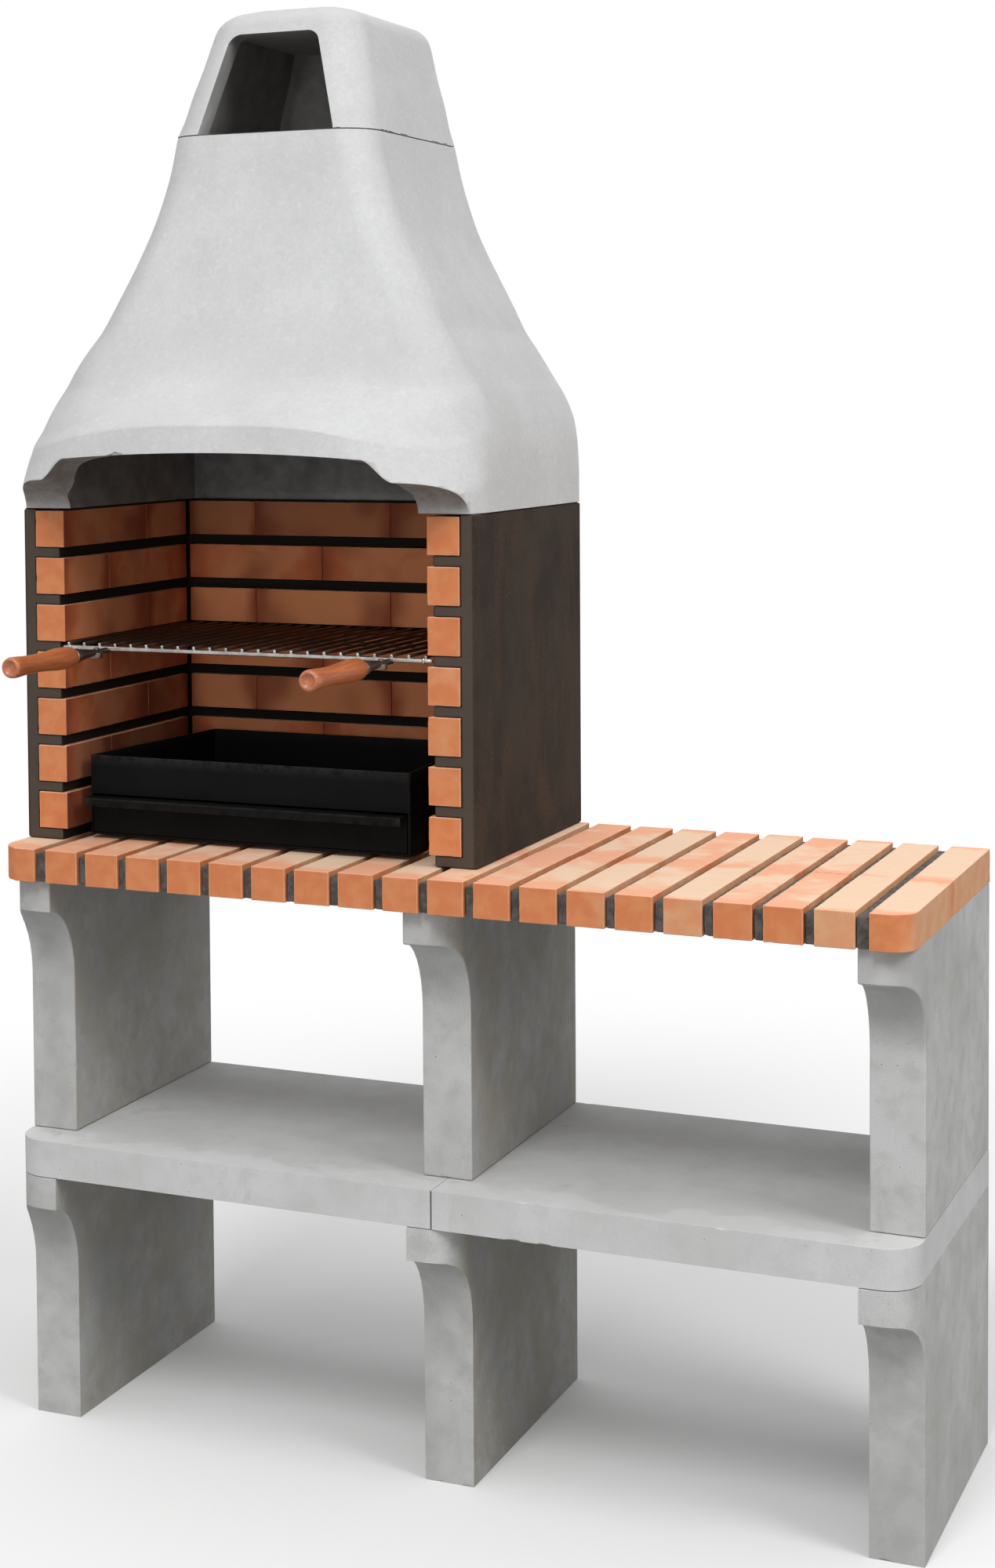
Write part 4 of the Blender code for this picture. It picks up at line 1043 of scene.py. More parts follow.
def cut(obj, *tools):
    for tool in tools:
        modifier = obj.modifiers.new(tool.name, "BOOLEAN")
        modifier.operation = "DIFFERENCE"
        modifier.object = tool
    applied(obj)
    for tool in tools:
        bpy.data.objects.remove(tool)


def bevelled(obj, width, segments=2):
    """Round the arrises that the cuts left, mark them for rubbed wear and a painted highlight, and shade the
    rest smooth.
    """
    arris = obj.modifiers.new("arris", "BEVEL")
    arris.limit_method = "ANGLE"
    arris.angle_limit = math.radians(bevel_degrees)
    arris.width = width
    arris.segments = segments
    arris.material = 1
    arris.face_strength_mode = "FSTR_ALL"
    for _ in range(2):
        obj.data.materials.append(None)
    applied(obj)
    mesh = obj.data
    kinds = np.empty(len(mesh.polygons), np.int32)
    mesh.polygons.foreach_get("material_index", kinds)
    mesh.attributes.new("worn_and_highlit", "FLOAT", "FACE").data.foreach_set("value", (kinds == 1).astype(np.float32))
    mesh.polygons.foreach_set("material_index", np.zeros_like(kinds))
    return obj


def settled(obj):
    """Shade a cut and bevelled body: flat faces stay flat and the bevels turn smoothly between them."""
    obj.data.shade_smooth()
    obj.data.set_sharp_from_angle(angle=math.radians(sharp_degrees))
    weigh = obj.modifiers.new("weigh", "WEIGHTED_NORMAL")
    weigh.keep_sharp = True
    weigh.use_face_influence = True
    applied(obj)
    return obj


def chip_tool(place, radii, seed):
    """A lumpy pebble that leaves the hollow of a chip when it is cut away."""
    start = seeded(seed)
    work = bmesh.new()
    bmesh.ops.create_icosphere(work, subdivisions=3, radius=1)
    for vertex in work.verts:
        lump = 1 + 0.35 * noise.noise(vertex.co * 1.7 + start) + 0.12 * noise.noise(vertex.co * 5 - start)
        vertex.co = Vector([place[i] + vertex.co[i] * radii[i] * lump for i in range(3)])
    return object_from("chip_tool", work)


def volume(mesh):
    work = bmesh.new()
    work.from_mesh(mesh)
    total = work.calc_volume(signed=True)
    work.free()
    return total


def chipped(obj, tools):
    """Cut the chips one by one. One that the boolean solver can't cut cleanly is left out."""
    for tool in tools:
        whole = obj.data.copy()
        loss_limit = 1.01 * volume(tool.data)
        cut(obj, tool)
        loss = volume(whole) - volume(obj.data)
        if not 0 <= loss <= loss_limit:
            obj.data = whole


def put_soot(mesh, middle_x, middle_y, clean_y, amount):
    """Marks what faces the flue's axis, behind the edge that the air keeps clean."""
    points = vertex_values(mesh, "co")
    normals = vertex_values(mesh, "normal")
    inward = -(points[:, 0] - middle_x) * normals[:, 0] - (points[:, 1] - middle_y) * normals[:, 1]
    reach = np.hypot(points[:, 0] - middle_x, points[:, 1] - middle_y)
    deep = np.clip((points[:, 1] - clean_y) / soot_fade, 0, 1)
    put(mesh, "soot", amount * deep * np.clip(inward / np.maximum(reach, 0.01) / 0.5, 0, 1))


def build_hood():
    """A bell over a visor band whose brow runs in an arch, on two pillars that cove into the band's lip."""
    low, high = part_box("hood")
    cap_low, cap_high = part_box("chimney_cap")
    middle, half = middle_and_half(low, high)
    neck_half = middle_and_half(cap_low, cap_high)[1]
    height = high[2] - low[2]
    visor_y, neck_y, back_y = low[1], cap_low[1], high[1]
    heights, widths, fronts, corners = zip(*hood_station_shares)
    brow_height = brow_share * height
    chamber = half - pillar_width

    def ring(share, inside=False):
        front = mixed(curve_value(heights, fronts, share), neck_y, visor_y)
        plan_half = mixed(curve_value(heights, widths, share), neck_half, half)
        corner = mixed(curve_value(heights, corners, share), neck_corner, visor_corner)
        plan = bell_plan(plan_half, front, back_y, corner, rear_corner)
        above_foot = share * height
        if inside:
            plan_half = min(plan_half - hood_shell, chamber)
            corner = max(flue_corner, (corner - hood_shell) / 2)
            plans = []
            for radius, rise in inner_haunches:
                haunched = mixed(eased(min(1, above_foot / rise)), flue_corner, radius)
                turn = mixed(clamped((share - haunch_end) / haunch_fade), haunched, corner)
                inner_back = back_y - hood_back_shell
                plans.append(bell_plan(plan_half, front + hood_shell, inner_back, turn, flue_rear_corner))
            plan = [left if left[0] < 0 else right for left, right in zip(*plans)]
        strength = max(0, min(above_foot / brow_height, 1 - (above_foot - brow_height) / brow_fade, 1))
        points = []
        for x, y in plan:
            forward = clamped((visor_y + visor_corner - y) / visor_corner)
            drop = brow_drop * abs(x / brow_half) ** 3 * forward * strength
            points.append((middle + x, y, low[2] + max(above_foot - drop, open_joint)))
        return points

    levels = sorted(set(heights + brow_levels + tuple(step / 80 for step in range(81))))
    hood = loft("hood_bell", [ring(share) for share in levels])
    inner = [ring(share, True) for share in levels[::2]]
    foot_z = low[2] - overrun
    foot = [(x, y, foot_z) for x, y, z in inner[0]]
    neck = [(x, y, high[2] + overrun) for x, y, z in inner[-1]]
    flue = loft("flue", [foot] + inner[1:-1] + [neck])

    lip_z = low[2] + cavetto_height
    crown_z = low[2] + arch_crown_height
    shoulder_z = low[2] + arch_shoulder_height
    shoulder = chamber - arch_haunch
    wall_front = visor_y + visor_overhang + wall_setback
    edge = [(-chamber - overrun - pillar_width, lip_z)]
    for step in range(17):
        share = step / 16
        edge.append((share * arch_haunch - chamber, mixed(eased(share), lip_z, shoulder_z)))
    edge += [(step / 24 * shoulder, mixed((step / 24) ** 2, crown_z, shoulder_z)) for step in range(-23, 1)]
    edge += [(-x, z) for x, z in reversed(edge[:-1])]
    under = []
    for x, z in edge:
        coved = clamped((abs(x) - cove_end) / (shoulder - cove_end))
        sweep = arc((visor_y, low[2]), (wall_front - visor_y, z - low[2]), 0, 90, 16)
        sweep = [(y, mixed(coved, z, swept_z)) for y, swept_z in sweep]
        sweep += [(visor_y - overrun, z), (visor_y - overrun, foot_z), (wall_front, foot_z)]
        under.append([(middle + x, y, swept_z) for y, swept_z in sweep])
    cut(hood, flue, loft("cove", under))
    bevelled(hood, hood_arris)

    tools = []
    for number, (x, z, size) in enumerate(hood_chips):
        seed = seeds["visor_chip"] + number
        tools.append(chip_tool((x, visor_y, lip_z + z), (size, chip_depth, 0.3 * size), seed))
    source = random.Random(seeds["hood"])
    for number in range(hood_side_chips):
        y = mixed(source.uniform(0, 1), wall_front, back_y)
        place = (high[0] + side_chip_lift, y, low[2] + foot_chip_lift)
        radii = (chip_depth, source.uniform(*hood_chip_lengths), hood_chip_height)
        tools.append(chip_tool(place, radii, seeds["hood_side_chip"] + number))
    for x, size in foot_chips:
        place = (x, wall_front - foot_chip_lift, low[2] + foot_chip_lift)
        tools.append(chip_tool(place, (size, 0.003, 0.0024), seeds["hood_foot_chip"] + round(1000 * size)))
    chipped(hood, tools)
    settled(hood)
    put_soot(hood.data, middle, back_y - flue_axis_setback, visor_y + hood_shell, 1.0)
    points = vertex_values(hood.data, "co")
    rise = np.interp(points[:, 0], [middle + x for x, _ in edge], [z - low[2] for _, z in edge])
    across = (points[:, 1] - visor_y) / (wall_front - visor_y)
    off = np.hypot(across, (points[:, 2] - low[2]) / rise) - 1
    in_cove = (np.abs(off) < cove_depth_share) & (across > 0.02) & (across < 1.01)
    # The cove under the visor takes smoke stain and painted shade in its finish.
    put(hood.data, "cove", in_cove & (points[:, 2] > low[2] - 0.001))
    dress(hood, "render_coat", "masonry", "hood")


def build_joint_mortar():
    """The thin beds that the shelf, the hood and its cap sit in, set back from the faces."""
    low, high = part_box("hood")
    cap_low, cap_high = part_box("chimney_cap")
    foot_span = (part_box("panel_back")[1][2] + seat_gap / 2, low[2] + open_joint - seat_gap / 2)
    cap_span = (high[2] + seat_gap / 2, cap_low[2] + open_joint - seat_gap / 2)
    beds = []

    def lay(start, end, span, seed, front=joint_setback, side=joint_setback):
        low_corner = (start[0] + side, start[1] + front, span[0])
        high_corner = (end[0] - side, end[1] - joint_setback, span[1])
        bed = worn_block("bed", low_corner, high_corner, seed, bed_cells, arris=0.0003, grain=0.00002, chip=0)
        beds.append(bed)

    for number, side in enumerate(("left", "right")):
        lay(*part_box("panel_" + side), foot_span, seeds["foot_bed"] + number)
    rear_start = (low[0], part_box("panel_back")[0][1])
    lay(rear_start, high, foot_span, seeds["foot_bed"] + 2, side=rear_bed_setback)
    for number, side in enumerate(("left", "middle", "right")):
        leg_low, leg_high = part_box("leg_lower_" + side)
        leg_span = (leg_high[2] - leg_joint, leg_high[2] + seat_gap / 2)
        lay(leg_low, leg_high, leg_span, seeds["leg_bed"] + number, front=leg_bed_setback)
    middle, half = middle_and_half(cap_low, cap_high)
    rings = []
    for inset, corner, rear in ((joint_setback, neck_corner, rear_corner), cap_flue):
        plan = bell_plan(half - inset, cap_low[1] + inset, cap_high[1] - inset, corner, rear)
        rings.append([(middle + x, y) for x, y in plan])
    outer, inner = rings
    hole_span = (cap_span[0] - tool_overrun, cap_span[1] + tool_overrun)
    ring = loft("bed", [[(x, y, z) for x, y in outer] for z in cap_span])
    cut(ring, loft("hole", [[(x, y, z) for x, y in inner] for z in hole_span]))
    dress(merged("joint_mortar", beds + [ring]), "mortar", "masonry")


def build_cap():
    """A tapered cap over the flue, with an arched mouth at its front."""
    low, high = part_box("chimney_cap")
    middle, half = middle_and_half(low, high)
    height = high[2] - low[2]
    top_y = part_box("hood")[0][1] + visor_overhang + cap_top_setback
    back_y = high[1]
    heights, widths, fronts, corners = zip(*cap_station_shares)
    shell, inner_corner, inner_rear = cap_flue
    outer = []
    inner = []
    inner_top = height - cap_roof
    for share in sorted(set(heights + tuple(step / 40 for step in range(41)))):
        plan_half = mixed(curve_value(heights, widths, share), cap_top_half, half)
        front = mixed(curve_value(heights, fronts, share), top_y, low[1])
        corner = mixed(curve_value(heights, corners, share), cap_top_corner, neck_corner)
        z = low[2] + share * height
        seat = max(z, low[2] + open_joint)
        plan = bell_plan(plan_half, front, back_y, corner, rear_corner)
        outer.append([(middle + x, y, seat) for x, y in plan])
        if share * height < inner_top:
            plan = bell_plan(plan_half - shell, front + shell, back_y - shell, inner_corner, inner_rear)
            inner.append([(middle + x, y, z) for x, y in plan])
    cap = loft("cap_shell", outer)
    foot = [(x, y, low[2] - overrun) for x, y, z in inner[0]]
    roof = [(x, y, low[2] + inner_top) for x, y, z in inner[-1]]
    flue = loft("cap_flue", [foot] + inner[1:-1] + [roof])
    sides = []
    for base_half, top_half in mouth_halves:
        lean = math.degrees(math.atan2(base_half - top_half, mouth_height))
        shift = mouth_corner * (1 - math.cos(math.radians(lean)) + math.sin(math.radians(lean)))
        centre = (top_half - mouth_corner + shift, low[2] + mouth_height - mouth_corner)
        sides.append([(base_half, low[2] - overrun)] + arc(centre, (mouth_corner,) * 2, lean, 90, 10))
    outline = [(middle + x, z) for x, z in sides[1]] + [(middle - x, z) for x, z in reversed(sides[0])]
    mouth = loft("mouth", [[(x, y, z) for x, z in outline] for y in (low[1] - overrun, top_y + shell)])
    cut(cap, flue, mouth)
    bevelled(cap, cap_arris, 3)

    source = random.Random(seeds["cap"])
    tools = []
    for number in range(cap_side_chips):
        share = source.uniform(0, 1)
        place = (high[0] + 0.0005, mixed(share, low[1] + neck_corner, back_y), low[2] + open_joint)
        radii = (cap_chip_depth, source.uniform(*cap_chip_lengths), cap_chip_height)
        tools.append(chip_tool(place, radii, seeds["cap_side_chip"] + number))
    for x, size in cap_chips:
        place = (x, low[1] - 0.0004, low[2] + open_joint)
        tools.append(chip_tool(place, (size, 0.0028, 0.0022), seeds["cap_foot_chip"] + round(1000 * size)))
    chipped(cap, tools)
    settled(cap)
    points = vertex_values(cap.data, "co")
    risen = np.clip((points[:, 2] - low[2]) / mouth_height, 0, 1)
    deep = np.clip((points[:, 1] - low[1]) / (back_y - low[1]), 0, 1)
    soot_amount = 0.64 + 0.16 * deep + 0.18 * risen
    put_soot(cap.data, middle, back_y - cap_axis_setback, low[1] + cap_clean_rim, soot_amount)
    dress(cap, "render_coat", "masonry", "chimney_cap")


def swept(name, path, radii, sides=12):
    """A round rod along a path, closed at both ends, with a radius at each point."""
    rings = []
    for i, point in enumerate(path):
        before = Vector(path[max(i - 1, 0)])
        after = Vector(path[min(i + 1, len(path) - 1)])
        along = (after - before).normalized()
        side = along.cross(Vector((0, 0, 1)) if abs(along.z) < 0.9 else Vector((1, 0, 0))).normalized()
        rings.append(circle(Vector(point), side, side.cross(along), radii[i], sides))
    return loft(name, rings)


def rod(name, start, end, radius, seed, waver, sides=12):
    """A straight wire with rounded ends that wavers a little."""
    start, end = Vector(start), Vector(end)
    length = (end - start).length
    along = (end - start) / length
    shift = seeded(seed)
    places = [radius * (1 - math.cos(math.radians(angle))) for angle in (0, 30, 60, 90)]
    tip = [radius * math.sin(math.radians(angle)) for angle in (8, 30, 60, 90)]
    steps = max(2, round(length / 0.03))
    inner = [radius + (length - 2 * radius) * step / steps for step in range(1, steps)]
    path = []
    for place in places + inner + [length - place for place in reversed(places)]:
        bend = noise.noise_vector(shift + along * place * 9) * waver
        path.append(start + along * place + bend - along * bend.dot(along))
    return swept(name, path, tip + [radius] * len(inner) + tip[::-1], sides)


def turned(name, centre, axis, profile, sides=48):
    """A turned body about an axis, from (place along the axis, radius) pairs."""
    axis = Vector(axis)
    side = axis.orthogonal().normalized()
    up = axis.cross(side)
    centre = Vector(centre)
    return loft(name, [circle(centre + axis * place, side, up, radius, sides) for place, radius in profile])


def rounded_profile(length, radius, edge, start=0.0, steps=4):
    """Profile of a short round bar with rounded edges."""
    profile = [(start, radius * 0.02)]
    for step in range(steps + 1):
        angle = math.radians(90 * step / steps)
        profile.append((start + edge * (1 - math.cos(angle)), radius - edge * (1 - math.sin(angle))))
    far = [(2 * start + length - place, value) for place, value in reversed(profile)]
    return profile + far


def build_grill():
    """Bars welded across three wires, and two shanks that carry the grips."""
    low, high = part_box("grill")
    front_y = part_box("worktop_row_02")[0][1] + grill_setback
    rear_y = front_y + grill_depth
    wire_z = high[2] + weld_sink - bar_diameter - cross_diameter / 2
    bar_z = wire_z + (cross_diameter + bar_diameter) / 2 - weld_sink
    wires = []
    wire_rows = (front_y, front_y + grill_depth / 2, rear_y)
    for number, y in enumerate(wire_rows):
        start = (low[0], y, wire_z)
        end = (high[0], y, wire_z)
        wires.append(rod("cross", start, end, cross_diameter / 2, number, cross_waver, 16))
    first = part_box("course_left_4")[1][0] + bar_side_gap
    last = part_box("course_right_4")[0][0] - bar_side_gap
    source = random.Random(seeds["welds"])
    for number in range(bars):
        x = mixed(number / (bars - 1), first, last)
        start = (x, front_y - bar_tip, bar_z)
        end = (x, rear_y + bar_tip, bar_z)
        wires.append(rod("bar", start, end, bar_diameter / 2, seeds["bar"] + number, bar_waver))
        for y in wire_rows:
            centre = (x, y - weld_length / 2, wire_z + cross_diameter / 2 - weld_bite)
            length = weld_length + source.uniform(-weld_drift, weld_drift)
            profile = rounded_profile(length, weld_radius, weld_edge)
            wires.append(turned("weld", centre, (0, 1, 0), profile, 10))
    for x in (low[0] + stop_inset, high[0] - stop_inset):
        profile = rounded_profile(stop_length, stop_radius, stop_edge)
        wires.append(turned("stop", (x - stop_length / 2, front_y, wire_z), (1, 0, 0), profile, 20))
    grill = merged("grill_wires", wires)
    grill.data.shade_smooth()
    # Behind the front wire the bars take fire browning and a painted reflection.
    behind = vertex_values(grill.data, "co")[:, 1] - front_y - bright_front
    put(grill.data, "browned_and_reflecting", np.clip(behind / browned_and_reflecting_fade, 0, 1))
    dress(grill, "chromed_wire", "grill", "grill")

    fittings = []
    for side in ("left", "right"):
        grip_low, grip_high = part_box("grip_" + side)
        x = middle_and_half(grip_low, grip_high)[0]
        fittings += shank_pieces(x, front_y, (grip_low[2] + grip_high[2]) / 2)
    shanks = merged("grill_shanks", fittings)
    shanks.data.shade_smooth()
    # The shanks take the same browning and painted reflection, all but a ring at the ferrule.
    past = vertex_values(shanks.data, "co")[:, 1] - front_y + shank_length - bright_ferrule
    put(shanks.data, "browned_and_reflecting", shank_browned_and_reflecting_share * np.clip(past / ferrule_fade, 0, 1))
    dress(shanks, "chromed_wire", "grill")


def shank_pieces(x, front_y, z):
    """Round shank, flared socket and ferrule, with a clamp and its bolt at the front wire."""
    end_y = front_y - shank_length
    clamp_y = front_y - clamp_from_wire
    neck = ferrule_length + 0.0006
    reach = clamp_y - (end_y + ferrule_length) - 0.0006
    ferrule = [(0.0, 0.0012), (0.0004, 0.0004), (0.0014, 0.0), (0.0030, 0.0005)]
    for back, less in ((0.0020, 0.0005), (0.0008, 0.0008), (0.0, 0.0020)):
        ferrule.append((ferrule_length - back, less))
    socket = [(place, ferrule_diameter / 2 - less) for place, less in ferrule]
    for step in range(13):
        share = step / 12
        radius = mixed(share ** 0.8, shank_end_diameter / 2, shank_diameter / 2)
        socket.append((neck + share * reach, radius))
    socket.append((front_y - end_y, shank_diameter / 2))
    socket.append((front_y - end_y + cross_diameter / 2, shank_diameter / 2))
    shank = turned("shank", (x, end_y, z), (0, 1, 0), socket, 32)
    lower = z - shank_diameter / 2 - clamp_height / 2
    profile = rounded_profile(clamp_height, clamp_diameter / 2, clamp_edge)
    clamp = turned("clamp", (x, clamp_y, lower), (0, 0, 1), profile, 32)
    profile = rounded_profile(nut_size, nut_size, nut_edge)
    nut = turned("nut", (x, clamp_y, z + nut_lift), (0, 0, 1), profile, 6)
    return [shank, clamp, nut]


def build_grips():
    """Turned wooden grips with a dished end."""
    places, radii = zip(*grip_profile_shares)
    shares = sorted(set(places + (0.985, 0.99, 0.997) + tuple(step / 60 for step in range(61))))
    for number, side in enumerate(("left", "right")):
        node = "grip_" + side
        low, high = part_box(node)
        length = high[1] - low[1]
        diameter = high[0] - low[0]
        middle = middle_and_half(low, high)[0]
        centre = (middle, high[1], (low[2] + high[2]) / 2)
        profile = [(0.0, grip_bore)]
        for share in shares:
            profile.append((share * length, curve_value(places, radii, share) * diameter))
        rim = radii[-1] * diameter
        for step in range(1, 13):
            share = step / 12
            dish = grip_dish * (1 - (1 - share) ** 2.4)
            profile.append((length - dish, rim * max(0.02, 1 - share)))
        grip = turned("%s_turned" % node, centre, (0, -1, 0), profile, 64)
        points = vertex_values(grip.data, "co").astype(float)
        start = seeded(seeds["grip"] + number)
        for i, point in enumerate(points):
            place = Vector((point[0] * 60, point[1] * 14, point[2] * 60))
            away = Vector((centre[0] - point[0], 0, centre[2] - point[2]))
            dent = grip_dent * (1 + noise.noise(place + start))
            points[i] += np.array(away.normalized() * dent) if away.length > 0.002 else 0
        grip.data.vertices.foreach_set("co", points.astype(np.float32).ravel())
        grip.data.shade_smooth()
        dress(grip, "varnished_wood", "grill", node)


def taper_pan(obj):
    """Narrow a straight pan towards its back."""
    low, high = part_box("ember_pan")
    middle, half = middle_and_half(low, high)
    points = vertex_values(obj.data, "co").astype(float) + np.array(obj.location)
    share = np.clip((points[:, 1] - low[1]) / (high[1] - low[1]), 0, 1)
    points[:, 0] = middle + (points[:, 0] - middle) * (half - share * pan_taper) / half
    obj.location = (0, 0, 0)
    obj.data.vertices.foreach_set("co", points.astype(np.float32).ravel())


def sheet_walls(name, low, high, thickness, bend, rim):
    """Four walls of bent sheet round a straight box, with rounded upright bends and a rounded rim."""
    corners = [(low[0], low[1], 180), (high[0], low[1], 270), (high[0], high[1], 0), (low[0], high[1], 90)]

    def plan(inset, radius):
        bends = []
        for x, y, start in corners:
            sign_x = 1 if x == low[0] else -1
            sign_y = 1 if y == low[1] else -1
            centre = (x + sign_x * (inset + radius), y + sign_y * (inset + radius))
            bends.append(arc(centre, (radius, radius), start, start + 90, 6))
        points = []
        for turn, following in zip(bends, bends[1:] + bends[:1]):
            points += turn
            for step in range(1, 24):
                points.append([mixed(step / 24, a, b) for a, b in zip(turn[-1], following[0])])
        return points

    rings = []
    levels = [low[2]] + [mixed(step / 8, low[2], high[2] - rim) for step in range(1, 9)]
    for z in levels:
        rings.append([(x, y, z) for x, y in plan(0, bend)])
    for step in range(1, 8):
        angle = math.radians(180 * step / 8)
        inset = thickness / 2 * (1 - math.cos(angle))
        rings.append([(x, y, high[2] - rim * (1 - math.sin(angle))) for x, y in plan(inset, bend - inset)])
    for z in reversed(levels):
        rings.append([(x, y, z) for x, y in plan(thickness, bend - thickness)])
    return loft(name, rings, closed=True)


def plain_block(name, low, high, arris, cells=(0.02, 0.02, 0.02)):
    return worn_block(name, low, high, seeds["sheet"], cells, arris, grain=0.00001, chip=0)


def put_rub_and_highlight(obj, lines, reach):
    """Marks how near each vertex is to the lines along which the paint is rubbed and a highlight is painted.
    """
    points = vertex_values(obj.data, "co").astype(float)
    nearest = np.full(len(points), 1.0)
    for start, end in lines:
        start, end = np.array(start), np.array(end)
        along = end - start
        share = np.clip((points - start) @ along / (along @ along), 0, 1)
        nearest = np.minimum(nearest, np.linalg.norm(points - start - share[:, None] * along, axis=1))
    put(obj.data, "arris", np.exp(-((nearest / reach) ** 2)))


def build_pan():
    """A tapered sheet casing: a coal box with a slotted floor over the bay of the ash drawer."""
    low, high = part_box("ember_pan")
    middle_x, half_x = middle_and_half(low, high)
    middle_y = (low[1] + high[1]) / 2
    base_z = low[2] + pan_foot_height
    coal_z = high[2] - coal_depth
    bay_top = coal_z - pan_sheet
    left, front = low[0] + pan_sheet, low[1] + pan_sheet
    right, back = high[0] - pan_sheet, high[1] - pan_sheet
    walls = sheet_walls("walls", (low[0], low[1], base_z), high, pan_sheet, sheet_bend, pan_rim)
    start = (left + 0.001, low[1] - tool_overrun, base_z + pan_sheet)
    cut(walls, plain_block("opening", start, (right - 0.001, front + 0.004, bay_top), 0.0005))
    coal = plain_block("coal_floor", (left, front, bay_top), (right, back, coal_z), 0.0004)
    tools = []
    pitch = (high[0] - low[0] - 2 * pan_taper) / (slots + 1)
    radii = (slot_width / 2,) * 2
    slot_span = (bay_top - tool_overrun, coal_z + tool_overrun)
    for number in range(slots):
        x = middle_x + (number - (slots - 1) / 2) * pitch
        slot = arc((x, middle_y - slot_length / 2), radii, 180, 360, 8)
        slot += arc((x, middle_y + slot_length / 2), radii, 0, 180, 8)
        tools.append(loft("slot", [[(a, b, z) for a, b in slot] for z in slot_span]))
    cut(coal, *tools)
    start = (left, low[1] + sheet_sink, base_z)
    floor = plain_block("bay_floor", start, (right, back, base_z + pan_sheet), 0.0006)
    pieces = [walls, coal, floor]
    for piece in pieces:
        taper_pan(piece)
    profile = rounded_profile(pan_foot_height + sheet_sink, pan_foot_diameter / 2, foot_edge)
    for sign in (-1, 1):
        for y, reach in ((low[1] + pan_foot_inset, half_x), (high[1] - pan_foot_inset, half_x - pan_taper)):
            centre = (middle_x + sign * (reach - pan_foot_inset), y, low[2])
            pieces.append(turned("foot", centre, (0, 0, 1), profile, 32))
    pan = merged("pan_casing", pieces)
    pan.data.shade_smooth()
    pan.data.set_sharp_from_angle(angle=math.radians(sharp_degrees))
    rear = half_x - pan_taper
    rim = [(low[0], low[1]), (high[0], low[1]), (middle_x + rear, high[1]), (middle_x - rear, high[1])]
    rim = [(x, y, high[2]) for x, y in rim]
    lines = list(zip(rim, rim[1:] + rim[:1]))
    lines += [(corner, (corner[0], corner[1], base_z)) for corner in rim]
    put_rub_and_highlight(pan, lines, sheet_rub_and_highlight)
    dress(pan, "black_sheet", "ember_pan", "ember_pan")


def strip_outline(path, thickness, bend):
    """Outline of a sheet that follows a path of (y, z) points, with its bends and its edges rounded."""
    line = [Vector(path[0])]
    for before, corner, after in zip(path, path[1:], path[2:]):
        to_before = (Vector(before) - Vector(corner)).normalized()
        to_after = (Vector(after) - Vector(corner)).normalized()
        centre = Vector(corner) + bend * (to_before + to_after)
        for step in range(7):
            angle = math.radians(90 * step / 6)
            line.append(centre - bend * (to_after * math.cos(angle) + to_before * math.sin(angle)))
    line.append(Vector(path[-1]))
    left, right = [], []
    for i, point in enumerate(line):
        along = (line[min(i + 1, len(line) - 1)] - line[max(i - 1, 0)]).normalized()
        side = Vector((-along.y, along.x)) * thickness / 2
        left.append(point + side)
        right.append(point - side)
    ends = []
    for point, inward in ((line[-1], line[-2] - line[-1]), (line[0], line[1] - line[0])):
        away = -inward.normalized()
        side = Vector((-away.y, away.x))
        half = thickness / 2
        turn = [math.radians(angle) for angle in (60, 30, 0, -30, -60)]
        ends.append([point - away * half + half * (away * math.cos(t) + side * math.sin(t)) for t in turn])
    return left[:-1] + ends[0] + list(reversed(right))[1:-1] + ends[1]


def build_drawer():
    """The ash drawer: a shallow tray whose front is folded forward and down as its pull."""
    low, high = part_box("ash_drawer")
    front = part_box("ember_pan")[0][1]
    half_sheet = drawer_sheet / 2
    face = front + half_sheet
    fold = [
        (face, low[2] + half_sheet),
        (face, high[2] - half_sheet),
        (low[1] + half_sheet, high[2] - half_sheet),
        (low[1] + half_sheet, high[2] - lip_height + half_sheet),
    ]
    outline = strip_outline(fold, drawer_sheet, lip_bend)
    steps = [mixed(step / 40, low[0], high[0]) for step in range(41)]
    front_piece = loft("drawer_front", [[(x, point.x, point.y) for point in outline] for x in steps])
    start = (low[0] + sheet_sink, front + drawer_sheet, low[2])
    end = (high[0] - sheet_sink, high[1], high[2] - sheet_sink)
    walls = sheet_walls("drawer_walls", start, end, drawer_sheet, sheet_bend, drawer_rim)
    start = (low[0] + drawer_sheet, front + drawer_sheet, low[2])
    end = (high[0] - drawer_sheet, high[1] - drawer_sheet, low[2] + drawer_sheet)
    floor = plain_block("drawer_floor", start, end, 0.0005)
    for piece in (walls, floor):
        taper_pan(piece)
    drawer = merged("drawer_tray", [front_piece, walls, floor])
    drawer.data.shade_smooth()
    drawer.data.set_sharp_from_angle(angle=math.radians(lip_sharp_degrees))
    levels = (high[2], high[2] - lip_height)
    lines = [((low[0], low[1], z), (high[0], low[1], z)) for z in levels]
    lines += [tuple((x, low[1], z) for z in levels) for x in (low[0], high[0])]
    put_rub_and_highlight(drawer, lines, lip_rub_and_highlight)
    dress(drawer, "black_sheet", "ash_drawer", "ash_drawer")


